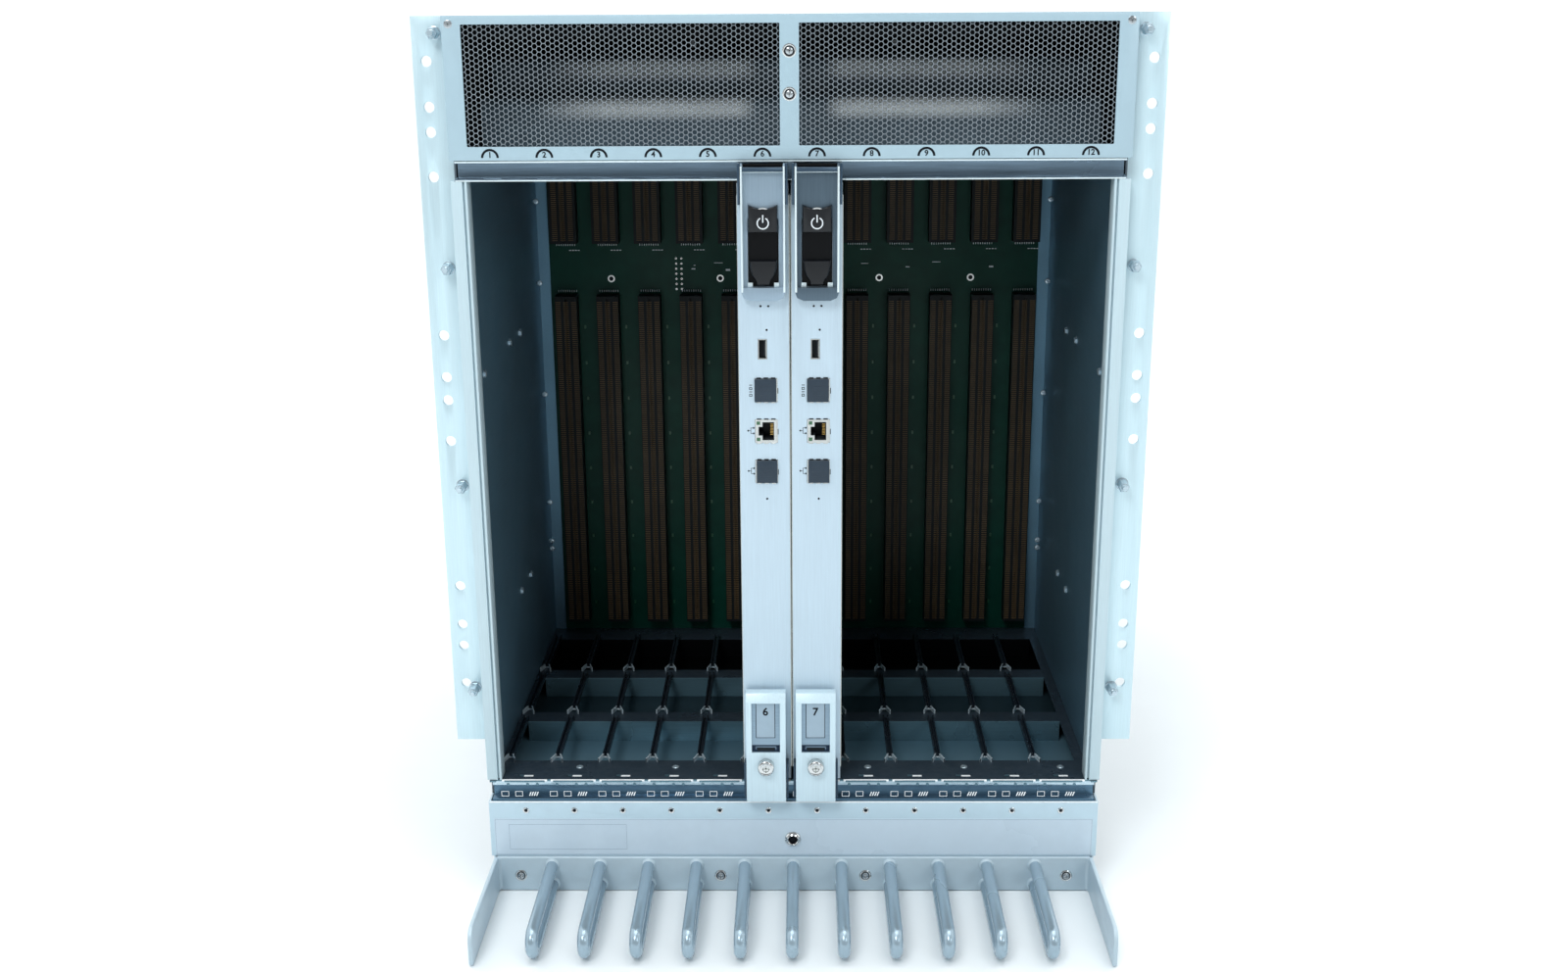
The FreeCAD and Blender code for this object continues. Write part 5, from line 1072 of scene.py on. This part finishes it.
def buildConnectors():
    half, pitch, columns, shift = (midplane["ribWidth"] / 2, midplane["rib"], midplane["ribColumns"],
                                   midplane["ribColumn"])
    for node, label in (("lower_connectors", "lowerContacts"), ("upper_connectors", "upperContacts")):
        dress("connectorBody", node)
        low, high = box(node)
        rib = oneBlock((-half, half), (-midplane["ribProud"], 0.02), (-0.36, 0.36))
        ribs = lined(rib, "contactRib", (-shift, 0, low.z + 3), columns, (shift, 0, 0),
                     int((high.z - low.z - 5) / pitch), (0, 0, pitch))
        keep(label, lined(ribs, "contactRib", (slotCentre(1) + midplane["connectorShift"], low.y, 0),
                          slotCount,
                          (slotPitch, 0, 0)))
    print("connectors")


# card cage: guides, floor edge, rail pattern and wall bolts; places are a depth behind the front and a height

cage = {"guideStart": 29.0, "guidePitch": 86.4667, "mouthLength": 9.0, "boltRadius": 2.6,
        "wallBolts": ((194.7, 375.3), (149.2, 376.2), (48.1, 373.4), (187.0, 178.2), (144.8, 179.2)),
        "bracketScrews": (310.8, 216.8, 182.3, 175.5, 404.0, 470.0), "bracketDepth": 262,
        "bracketAcross": 207.5,
        "stripLow": 71.9, "line": 0.35, "dimpleHeight": 83.0, "dimples": (-12, 2, 9)}


def buildGuides():
    # the mouths at the front of each guide get a pale finish: painted highlight on the dark plastic flares
    start = front + cage["guideStart"] + 0.001
    softened("lower_card_guides", ["guidePlastic", "guideMouthHighlight"], 0.18, 1,
             lambda c, n: (c.y - start) % cage["guidePitch"] < cage["mouthLength"])
    print("guides")


def buildCageTrim():
    floorTop, railFace, low = box("cage_floor")[1].z, box("bottom_rail")[0].y, cage["stripLow"]
    # pattern pressed into the lower strip of the rail, once for each slot
    bm = bmesh.new()
    deep = (railFace - 0.08, railFace + 0.02)
    for slot in slots:
        x = slotCentre(slot)
        for centre in (x - 14.5, x - 4.5):
            addFrame(bm, (centre - 2.7, centre + 2.7), (low + 1.6, low + 5.6), cage["line"], deep)
        for part in range(4):
            foot = x + 2.6 + part * 1.7
            addPlate(bm, [(foot, low + 2.0), (foot + 0.8, low + 2.0), (foot + 2.0, low + 5.2),
                          (foot + 1.2, low + 5.2)], deep)
    keep("railPattern", bm, "brightEdge")
    # dimples along the rail's upper strip, clear of the blades' levers
    dimple = turned([(0, 0.02), (0.7, 0.02), (1.0, 0.12), (1.2, 0), (0, -0.1)], 12)
    places = [(slotCentre(slot) + shift, railFace, cage["dimpleHeight"]) for slot in slots
              if slot not in blade["slots"] for shift in cage["dimples"]]
    keep("railDimples", placed(dimple, "zincFloor", places), smooth=True)
    # screws of the floor's front strip, and pale tabs under its slots that stand for light showing through
    # them: painted light
    tab = oneBlock((-3.3, 3.3), (6.6, 8.6), (-0.1, 0.16), 0.12)
    tabs = lined(tab, "brightEdge", (slotCentre(1) + 2, front, floorTop), slotCount, (slotPitch, 0, 0))
    heads = placed(crossHead(2.6, 0.9, "boltSteel"), "boltSteel",
                   [(slotCentre(slot) + 2, front + 22, floorTop) for slot in slots[1::2]], "up")
    keep("floorFasteners", [tabs, heads], smooth=True)
    # a bright line along the floor's front edge: painted highlight
    edge = bmesh.new()
    half, limit = slotPitch / 2 - 1.3, halfWidth - 4
    for slot in slots:
        x = slotCentre(slot)
        block(edge, (0, front, floorTop), (max(x - half, -limit), min(x + half, limit)), (0.3, 1.4),
              (-0.9, 0.45), 0.2, steps=1)
    keep("floorEdge", edge, "brightEdge", smooth=True)
    print("cage trim")


def buildWallBolts():
    radius = cage["boltRadius"]
    hexagon = partMesh(turned([(0, 0), (radius * 1.25, 0), (radius * 1.25, 0.3), (radius, 0.5), (radius, 1.6),
                               (radius * 0.6, 1.9), (0, 1.9)], 6))
    keep("wallBolts", [placed(hexagon, "boltSteel",
                              [(side * (halfWidth - 4.9), front + y, z) for y, z in cage["wallBolts"]],
                              way) for side, way in ((-1, "right"), (1, "left"))], smooth=True)
    places = [(side * cage["bracketAcross"], front + cage["bracketDepth"], z) for side in (-1, 1)
              for z in cage["bracketScrews"]]
    keep("bracketScrews", placed(crossHead(2.3, 1.1, "boltSteel"), "boltSteel", places), smooth=True)
    print("wall bolts")


# ground under the object, wide enough that its far edge can't be seen

def buildFloor():
    sides = (-stage["floorReach"], stage["floorReach"])
    newObject("floor", partMesh(oneBlock(sides, sides, (-20, 0)), "floorPaint"))


# blades: faceplates, sockets, caps, levers, sliders and screws; places run from the left side of a slot

blade = {
    "slots": (6, 7),
    "socketTop": 371.7, "socketStep": 28.0, "shield": (11.0, 25.8), "socketHeight": 16.0, "wall": 0.35,
    "plug": (15.8, 23.6), "plugHeight": 12.4, "plugDepth": 12.5, "latch": 13.2, "latchHeight": 6.0,
    "contacts": 8, "contactPitch": 1.02, "dataSocket": (13.4, 19.2), "dataLow": 392.6, "dataHigh": 406.4,
    "lamps": ((15.3, 428.2), (20.4, 428.2), (19.2, 412.4), (18.6, 296.5)),
    "springPitch": 4.0, "springCount": 100, "springLength": 3.1,
}


def slotLeft(slot):
    return slotCentre(slot) - slotPitch / 2


def buildFaceplate(slot):
    softened(f"blade_{slot}_faceplate", ["plateCoat", "clawShade"], 0.3, paint=lambda c, n: c.y < front - 0.4)
    body, left = f"blade_{slot}", slotLeft(slot)
    # indicator lamps: a dark lens in a small well
    lens = turned([(0, 0.12), (0.62, 0.08), (0.78, 0), (0, -0.3)], 14)
    places = [(left + x, front, z) for x, z in blade["lamps"]]
    keep(f"statusLamps{slot}", placed(lens, "blackGloss", places), (), body, smooth=True)
    # plain marks beside the sockets: two bars between frames, and small branch signs
    bm = bmesh.new()
    deep, top = (-0.05, 0.02), blade["socketTop"]
    for z in (top + 3.6, top - 1.0):
        block(bm, (left, front, z), (7.2, 9.2), deep, (-0.25, 0.25))
        addFrame(bm, (left + 7.2, left + 9.2), (z - 3.2, z - 1.4), 0.42, (front - 0.05, front + 0.02))
    for socket in (1, 2):
        z = top - socket * blade["socketStep"] + 0.4
        for x, up in ((6.2, 0.0), (9.9, 1.9), (9.9, -1.9)):
            addTurned(bm, [(0, 0.05), (0.62, 0.05), (0.62, -0.02), (0, -0.02)], 12, 0,
                      (left + x, front, z + up))
        for across, up, tall in (((6.2, 8.0), 0, 0.16), ((7.85, 8.15), 0, 2.05), ((8.0, 9.9), 1.9, 0.16),
                                 ((8.0, 9.9), -1.9, 0.16)):
            block(bm, (left, front, z + up), across, deep, (-tall, tall))
    keep(f"faceplateMarks{slot}", bm, "ink", body)


def buildGasket(slot):
    node = f"blade_{slot}_emi_gasket"
    dress("springStrip", node)
    low, high = box(node)
    # spring fingers repeated up the strip, on both sides of the blade
    meshes = []
    depth = high.y - low.y - 1.6
    for side, x in ((-1, low.x), (1, high.x)):
        finger = bmesh.new()
        near = [(-side * 0.1, 0), (0, 0.3), (0, 0.7), (-side * 0.1, 1)]
        outline = near + [(-side * 0.45, share) for _, share in near[::-1]]
        ends = [ring(finger, [(reach, low.y + 0.8 + depth * share, z) for reach, share in outline])
                for z in (0, blade["springLength"])]
        loft(finger, ends, caps=False)
        for end in ends:
            for i in range(3):
                finger.faces.new([end[i], end[i + 1], end[-2 - i], end[-1 - i]])
        bmesh.ops.recalc_face_normals(finger, faces=finger.faces[:])
        meshes.append(lined(finger, "springStrip", (x, 0, low.z + 1), blade["springCount"],
                            (0, 0, blade["springPitch"])))
    keep(f"springFingers{slot}", meshes, (), f"blade_{slot}", smooth=True)


def socketCore(bm, place, open):
    # Lining, folded shield edges and ground springs of one socket; an open one shows contacts and lamps.
    (x0, x1), latchLeft, wall, back = blade["plug"], blade["latch"], blade["wall"], blade["plugDepth"]
    half, latch, tall = blade["plugHeight"] / 2, blade["latchHeight"] / 2, blade["socketHeight"] / 2
    for x, z in (((x0, x0 + wall), (-half, -latch)), ((x0, x0 + wall), (latch, half)),
                 ((x1 - wall, x1), (-half, half)),
                 ((x0, x1), (-half, wall - half)), ((x0, x1), (half - wall, half)),
                 ((latchLeft, latchLeft + wall), (-latch, latch)),
                 ((latchLeft, x0 + wall), (latch - wall, latch)),
                 ((latchLeft, x0 + wall), (-latch, wall - latch))):
        block(bm, place, x, (0.5, back), z)
    block(bm, place, (latchLeft, x1), (back - wall, back), (-half, half))
    if open:
        for pin in range(blade["contacts"]):
            z = (pin - (blade["contacts"] - 1) / 2) * blade["contactPitch"]
            block(bm, place, (x1 - 2.6, x1 - 0.5), (5.5, 11), (z - 0.17, z + 0.17), tag=1)
        for z in (2.4 - tall, tall - 2.4):
            block(bm, place, (11.9, 14.3), (-0.12, 0.05), (z - 1.2, z + 1.2), 0.1, 2, 1)
    s0, s1 = blade["shield"]
    for centre in (s0 + 2.6, s0 + 7.4, s0 + 12.2):
        x = (centre - 1.5, centre + 1.5)
        block(bm, place, x, (-0.28, 0.4), (tall - 0.1, tall + 0.8), 0.12, 0, 1)
        block(bm, place, x, (-0.22, 0.4), (-tall - 0.7, 0.1 - tall), 0.12, 3, 1)
    block(bm, place, (s1 - 0.1, s1 + 0.8), (-0.28, 0.4), (-2.2, 1.6), 0.12, 0, 1)
    block(bm, place, (s1 - 0.5, s1 + 0.35), (-0.3, 0.3), (-7.6, 7.6), 0.12, 3, 1)


def dustCap(bm, place, start, end):
    # A cap with ridges to grip, and its plug inside the socket.
    tall, plug = blade["socketHeight"] / 2 - 0.2, blade["plugHeight"] / 2 - 0.6
    block(bm, place, (start, end), (-1.6, -0.3), (-tall, tall), 0.5, 0, 3)
    for z in (-3.2, 0, 3.2):
        block(bm, place, (blade["shield"][0] + 3, blade["shield"][1] - 3), (-1.75, -1.5),
              (z - 0.25, z + 0.25), 0.1, 0, 1)
    block(bm, place, (blade["plug"][0] + 0.5, blade["plug"][1] - 0.5), (-0.5, 6), (-plug, plug), 0.3, 0, 1)


def buildSockets(slot):
    body = f"blade_{slot}"
    dress("tinShield", f"blade_{slot}_port_sockets")
    cores, caps = bmesh.new(), bmesh.new()
    places = [(slotLeft(slot), front, blade["socketTop"] - index * blade["socketStep"]) for index in range(3)]
    for index, place in enumerate(places):
        socketCore(cores, place, index == 1)
    # upright data socket: dark mouth with its tongue
    (left, right), low, high = blade["dataSocket"], blade["dataLow"], blade["dataHigh"]
    mouth = (slotLeft(slot), front, 0)
    block(cores, mouth, (left + 0.5, right - 0.5), (4, 4.4), (low + 0.5, high - 0.5))
    block(cores, mouth, (right - 2.4, right - 0.9), (0.9, 4), (low + 1.6, high - 1.6), 0.15, 0, 1)
    keep(f"socketCores{slot}", cores, ["blackMoulded", "goldContact", "greenLamp", "tinShield"], body)
    start, end = blade["shield"]
    dustCap(caps, places[0], start, end - 0.5)
    dustCap(caps, places[2], start + 0.6, end)
    keep(f"dustCaps{slot}", caps, "capRubber", body, True, (f"blade_{slot}_dust_caps",))


# upper lever with its power slider; the web is the lever's flat face

upperLever = {"lip": 8.4, "web": 3.1, "symbolHeight": 483.0, "symbolRadius": 3.6, "symbolLine": 0.75,
              "clip": (3.4, 3.0)}


def buildUpperLever(slot):
    node = f"blade_{slot}_upper_lever"
    low, high = box(node)
    web = front - upperLever["web"]
    lip = low.z + upperLever["lip"]
    rim = low.z + upperLever["lip"] * 0.6
    # slot 7's lever gets a darker copy of the coat, a painted reflection of a dark surround; the flanges'
    # front edges and sides get a pale finish, painted highlight
    softened(node, ["greyLeverCoat" if slot == 6 else "leverDarkReflectionCoat", "leverEdge"], 0.28,
             paint=lambda c, n: (c.y < web - 4.6 or abs(n.x) > 0.6) and c.z > rim)
    bm = bmesh.new()
    wide, tall = upperLever["clip"]
    for x in (low.x + 4, high.x - 4 - wide):
        block(bm, (x, web, lip), (0, wide), (-0.5, 0.6), (0, tall), 0.3)
    # a dark block behind the lever's window: painted shade
    block(bm, (0, front, 0), (low.x + 4.5, high.x - 4.5), (-0.95, -0.35), (lip + 0.4, high.z - 26), 0.1, 1, 1)
    # along the lever's upper end, a pale line, painted highlight of its folded edge, and a dark block above
    # it, painted shade of the recess at its top
    block(bm, (0, web, high.z), (low.x + 1, high.x - 1), (-1.1, -0.1), (-6.2, -5.4), 0.2, 0, 1)
    block(bm, (0, web, high.z), (low.x + 1.6, high.x - 1.6), (-0.4, 0.2), (-5.4, -0.6), 0.15, 1, 1)
    keep(f"leverClips{slot}", bm, ["leverEdge", "sliderShade"], f"upper_lever_{slot}", smooth=True)


def buildPowerSlider(slot):
    node, body = f"blade_{slot}_power_slider", f"power_slider_{slot}"
    low, high = box(node)
    centre, half, grip, web = (low.x + high.x) / 2, (high.x - low.x) / 2, low.z + 34.6, front - 3.35
    bm = bmesh.new()

    def layer(outline, middle, depths, tag=0):
        # stacks the same outline at several depths, drawn in a little towards the front
        loft(bm, [ring(bm, [(centre + x * (1 - inset), y, z + (middle - z) * inset) for x, z in outline])
                  for y, inset in depths], tag)

    # cap with a hollow top edge and pointed corners
    hollow = [(half * (1 - i / 6), high.z - 2.7 * (1 - abs(1 - i / 6) ** 1.6)) for i in range(13)]
    layer([(half, grip), *hollow, (-half, grip)], (grip + high.z) / 2,
          [(web, 0), (web - 1.9, 0), (web - 3, 0.06), (web - 3.35, 0.14), (web - 3.4, 0.5)])
    # grip that hangs in the lever's window: flat above, deep recess, tapered foot
    side = [(half - inset, low.z + up) for inset,
            up in ((0.2, 35.2), (0.2, 17), (0.8, 11), (2.2, 6.5), (4.6, 3), (5.2, 0))]
    foot = side[1:]
    for points, middle, depths, tag in (
            (side, (low.z + grip) / 2, [(-1.1, 0), (-2.5, 0)], 1),
            (foot, low.z + 9, [(-2.4, 0), (-4.4, 0.03), (-5.3, 0.12), (-5.4, 0.4)], 0)):
        layer(points + [(-x, z) for x, z in points[::-1]], middle,
              [(front + y, inset) for y, inset in depths], tag)
    keep(f"powerSlider{slot}", bm, ["blackGloss", "sliderShade"], body, True, (node,))
    # power sign, and a chrome arc over it that stands for the glint on the cap's top: painted highlight
    marks, z = bmesh.new(), upperLever["symbolHeight"]
    radius, line, deep = upperLever["symbolRadius"], upperLever["symbolLine"], (web - 3.5, web - 3.32)
    addArc(marks, (centre, z), radius, line, 118, 422, deep, 28)
    block(marks, (centre, 0, z), (-line / 2, line / 2), deep, (0.4, radius + 1.7))
    keep(f"powerSign{slot}", marks, "paleInk", body)
    # chrome arc: painted highlight of the cap's top
    arc = bmesh.new()
    addArc(arc, (centre, z + 3.4), 6.0, 0.9, 62, 118, (web - 2.9, web - 0.1), 10)
    keep(f"sliderRim{slot}", arc, "chrome", body, smooth=True)


# lower lever: a recess with a label, and a catch in its foot

lowerLever = {"side": 4.0, "recessFoot": 37.9, "recessTop": 6.6, "recessDepth": 2.4, "bandHigh": 4.8,
              "line": 0.42,
              "labelFoot": 10.6, "figure": 8.0}


def buildLowerLever(slot):
    node, body = f"blade_{slot}_lower_lever", f"lower_lever_{slot}"
    low, high = box(node)
    left, right = low.x + lowerLever["side"], high.x - lowerLever["side"]
    foot, top = low.z + lowerLever["recessFoot"], high.z - lowerLever["recessTop"]
    floor, hair = low.y + lowerLever["recessDepth"], 0.1
    softened(node, ["leverCoat", "recessCoat"], 0.3, 3, lambda c, n: left - hair < c.x < right + hair
             and foot - hair < c.z < top + hair and low.y + 2 * hair < c.y < floor + hair)
    bm = bmesh.new()
    centre, line = (left + right) / 2, lowerLever["line"]
    # outlined plate for a slot label, open at the top
    plate = (centre, floor, foot + lowerLever["labelFoot"])
    tall = top - 0.2 - plate[2]
    block(bm, plate, (-6.6, 6.2), (-0.25, 0.1), (0, tall), 0.1, 0, 1)
    for x, z in (((-6.6 - line, -6.6), (-line, tall)), ((6.2, 6.2 + line), (-line, tall)),
                 ((-6.6 - line, 6.2 + line), (-line, 0))):
        block(bm, plate, x, (-0.12, 0.05), z, tag=4)
    # finger slot at the foot of the recess with a bright catch in it; the slot's dark band and the dark block
    # in the catch are painted shade
    catch = (centre, floor, foot)
    block(bm, (0, floor, foot), (left, right), (-0.3, 0.05), (0, lowerLever["bandHigh"]), tag=1)
    for x, z in (((-7.4, 7.4), (3.2, 4.2)), ((-7.4, -6.6), (1.6, 4.0)), ((6.6, 7.4), (1.6, 4.0))):
        block(bm, catch, x, (-0.9, 0), z, 0.2, 2)
    block(bm, catch, (-6, 6), (-0.6, 0), (0.6, 2.9), 0.3, 3)
    keep(f"leverRecess{slot}", bm, ["labelPlate", "fingerSlotShade", "railSteel", "darkSheet", "ink"], body)
    figure = figures(str(slot), lowerLever["figure"], (centre - 0.2, floor - 0.27, top - 7.2))
    keep(f"slotFigure{slot}", figure, "ink", body)


thumb = {"head": 5.8, "length": 6.0, "flutes": 40, "core": 2.7}


def buildThumbscrew(slot):
    node = f"blade_{slot}_thumbscrew"
    low, high = box(node)
    place = ((low.x + high.x) / 2, low.y, (low.z + high.z) / 2)
    length, reach = thumb["length"], thumb["head"]
    profile = [(0.94, -length), (0.97, 0.2 - length), (1.0, 0.5 - length), (1.0, -0.9), (0.96, -0.5),
               (0.82, -0.05),
               (0.74, 0.0), (0.66, -0.25), (0.40, -0.3), (0.34, -0.9), (0.0, -1.1)]
    head = turned([(reach * share, z) for share, z in profile], thumb["flutes"] * 2, 0.965, reach * 0.9, True)
    cross = partMesh(recessed(head, "chrome", 5.2, 1.0, 2.6, 0), ["springStrip", "ink"])
    # faces at the bottom of the cross recess are painted dark: painted shade
    for face in cross.polygons:
        across, z = face.center.xy.length / mm, face.center.z / mm
        if across < thumb["core"] and z < -1.15:
            face.material_index = 2
        elif across < reach * 0.66 and z > -1.2:
            face.material_index = 1
    cross.transform(standing(place))
    shank = bmesh.new()
    addTurned(shank, [(0, -length - 11.6), (1.6, -length - 11.6), (1.95, -length - 11), (1.95, 0.2 - length),
                      (0, 0.2 - length)], 16, 0, place)
    keep(f"thumbScrew{slot}", [cross, partMesh(shank, "screwSteel")], (), f"thumbscrew_{slot}", True, (node,))


board = {"sheet": 1.6, "sinkStart": 90, "sinkEnd": 172, "chip": 7, "chipHigh": 1.5, "partPitch": 13,
         "chips": ((60, 300), (60, 420), (205, 150), (200, 250), (205, 330), (230, 425), (120, 450),
                   (140, 282), (50, 180))}


def buildBoard(slot):
    node = f"blade_{slot}_circuit_board"
    face, size = box(node)[0].x + board["sheet"], board["chip"]

    def kind(c, n):
        # bare board, heat sink or connector
        if c.x <= face + 0.2:
            return 0
        return 1 if board["sinkStart"] < c.y - front < board["sinkEnd"] else 2

    softened(node, ["boardGreen", "screwSteel", "connectorBody"], 0.15, 1, kind)
    chip = oneBlock((-0.1, board["chipHigh"]), (-size, size), (-size, size), 0.3)
    chips = placed(chip, "connectorBody", [(face, front + y, z) for y, z in board["chips"]], "up")
    small = oneBlock((-0.1, 0.8), (-1.6, 1.6), (-0.8, 0.8), 0.15)
    rows = lined(small, "contactRib", (face, front + 26, 116), 18, (0, board["partPitch"], 0), 3, (0, 0, 182))
    keep(f"boardParts{slot}", [chips, rows], (), f"blade_{slot}")


def buildBlades():
    for slot in blade["slots"]:
        dress("traySteel", f"blade_{slot}_carrier_tray")
        for build in (buildBoard, buildFaceplate, buildGasket, buildSockets, buildUpperLever,
                      buildPowerSlider,
                      buildLowerLever, buildThumbscrew):
            build(slot)
        print("blade", slot)


# pale lines along the top and bottom edges of the rail under the bezel: painted highlights

def buildRailEdges():
    low, high = box("top_rail")
    bm = bmesh.new()
    for z, tall in ((low.z + 0.05, 0.9), (high.z - 1.2, 1.1)):
        block(bm, (0, low.y, z), (low.x + 0.4, high.x - 0.4), (-0.35, 0.3), (0, tall), 0.25)
    keep("railEdges", bm, "leverEdge", smooth=True)
    print("rail edges")


# blowers and power supplies at the back

rearModules = {"blowers": 3, "supplies": 4, "screw": 4.2, "screwLength": 7, "inlet": (30, 23),
               "inletDepth": 17,
               "moulding": 3, "vents": 22, "ventPitch": 3.9, "ventRows": 4, "ventRise": 3.4}


def knurledScrew(radius, length):
    profile = [(radius * share, z) for share, z in ((1.0, 0), (1.0, length * 0.8), (0.9, length),
                                                    (0.62, length),
                                                    (0.58, length * 0.86))]
    return recessed(turned(profile, 36, 0.95, radius * 0.95, True), "screwSteel", radius, radius * 0.2,
                    length * 0.5,
                    length * 0.9)


def lampLens(radius, rim, sides):
    return turned([(0, 0.5), (radius, 0.3), (rim, 0), (0, -0.1)], sides)


def buildBlower(index):
    node = f"blower_{index}_housing"
    low, high = box(node)

    def kind(c, n):
        # handle, painted shade on the faces set back inside, or coat
        if c.y > rear + 0.6:
            return 1
        edge = min(abs(c.x - low.x), abs(c.x - high.x), abs(c.z - low.z), abs(c.z - high.z))
        return 2 if c.y < rear - 1.2 and edge >= 0.4 else 0

    softened(node, ["rearCoat", "handleBlack", "darkSheet"], 0.5, paint=kind)
    corners = [(x, rear, z) for x in (low.x + 8, high.x - 8) for z in (low.z + 12, high.z - 12)]
    screws = placed(knurledScrew(rearModules["screw"], rearModules["screwLength"]), "screwSteel", corners,
                    "back")
    lamps = placed(lampLens(1.5, 1.725, 16), "greenLamp",
                   [(high.x - across, rear, high.z - 14) for across in (26, 20)], "back")
    rib = oneBlock((low.x + 10, high.x - 10), (rear - 0.3, rear + 0.9), (-0.9, 0.9), 0.4, 2)
    ribs = lined(rib, "rearCoat", (0, 0, low.z + 26), 5, (0, 0, 9))
    keep(f"blowerTrim{index}", [screws, lamps, ribs], (), nodes[node]["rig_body"], smooth=True)
    dress("blackMoulded", f"impeller_{index}")


def buildSupply(index):
    node = f"power_supply_{index}"
    low, high = box(node)
    centre = Vector((low.x * 0.25 + high.x * 0.75, rear, (low.z + high.z) / 2))
    wide, tall = (size / 2 for size in rearModules["inlet"])
    rim = rearModules["moulding"]

    def kind(c, n):
        # handle, walls of the mains inlet, its pins or coat
        across, up, deep = abs(c.x - centre.x), abs(c.z - centre.z), rear - c.y
        if deep < -0.6:
            return 1
        if across >= wide + 0.2 or up >= tall + 0.2 or deep <= 0.5:
            return 0
        return 3 if deep < rearModules["inletDepth"] and across < wide - 2 and up < tall - 2 else 2

    softened(node, ["rearCoat", "handleBlack", "blackMoulded", "screwSteel"], 0.4, paint=kind)
    bm = bmesh.new()
    # raised moulding round the mains inlet
    for x, z in (((-wide - rim, wide + rim), (-tall - rim, -tall)),
                 ((-wide - rim, wide + rim), (tall, tall + rim)),
                 ((-wide - rim, -wide), (-tall, tall)), ((wide, wide + rim), (-tall, tall))):
        block(bm, centre, x, (-0.4, 1.6), z, 0.4)
    # spring catch beside the handle
    block(bm, (low.x, rear, low.z), (6, 15), (-0.4, 4), (6, 12), 1.2, 1, 3)
    # vent holes drawn as dark hexagons: painted shade in the holes
    hole = turned([(0, 0.08), (1.7, 0.08), (1.9, 0), (0, -0.1)], 6)
    pitch, rise = rearModules["ventPitch"], rearModules["ventRise"]
    row = lined(placed(hole, "ink", [(0, 0, 0)], "back"), "ink", (low.x + 12, rear, high.z - 8),
                rearModules["vents"],
                (pitch, 0, 0))
    parts = [partMesh(bm, ["blackMoulded", "handleBlack"]),
             placed(lampLens(1.3, 1.5, 14), "greenLamp", [centre + Vector((-22, 0, up)) for up in (5, -1)],
                    "back")]
    for number in range(rearModules["ventRows"]):
        parts.append(row.copy())
        parts[-1].transform(Matrix.Translation(metres(pitch / 2 * (number % 2), 0, -rise * number)))
    keep(f"supplyTrim{index}", parts, (), nodes[node]["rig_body"], smooth=True)
    print("power supply", index)


def buildRear():
    for index in range(1, rearModules["blowers"] + 1):
        buildBlower(index)
    for index in range(1, rearModules["supplies"] + 1):
        buildSupply(index)


# flat screws along the outer sheets

def buildSheetScrews():
    depth = rear - front
    meshes = []

    def drive(places, way):
        meshes.append(placed(crossHead(3.2, 0.4), "screwSteel", places, way))

    for side, way in ((-1, "left"), (1, "right")):
        x = side * halfWidth
        places = [(x, front + 30 + i * (depth - 60) / 6, z) for i in range(7) for z in (16, chassisTop - 22)]
        drive(places + [(x, front + y, 60 + i * 96) for i in range(5) for y in (20, depth - 20)], way)
    # the cover's screws sit a little under its top
    drive([(x, front + y, chassisTop - 0.32) for x in (-205, -102, 0, 102, 205)
           for y in (24, depth / 2, depth - 20)], "up")
    drive([(x, rear - 8, z) for x in (-200, -100, 0, 100, 200) for z in (chassisTop - 24, chassisTop - 90)],
          "back")
    keep("sheetScrews", meshes, smooth=True)
    print("sheet screws")


for build in (buildStage, buildFloor, buildSheets, buildDuct, buildVentMesh, buildSlotMarks,
              buildPanelScrews, buildComb,
              buildLowerPanel, buildGroundJack, buildEarBolts, buildMidplane, buildConnectors, buildGuides,
              buildCageTrim,
              buildRailEdges, buildWallBolts, buildBlades, buildRear, buildSheetScrews):
    build()

for name, node in nodes.items():
    if not node.data.materials or node.data.materials[0] is None:
        dress("rearCoat", name)
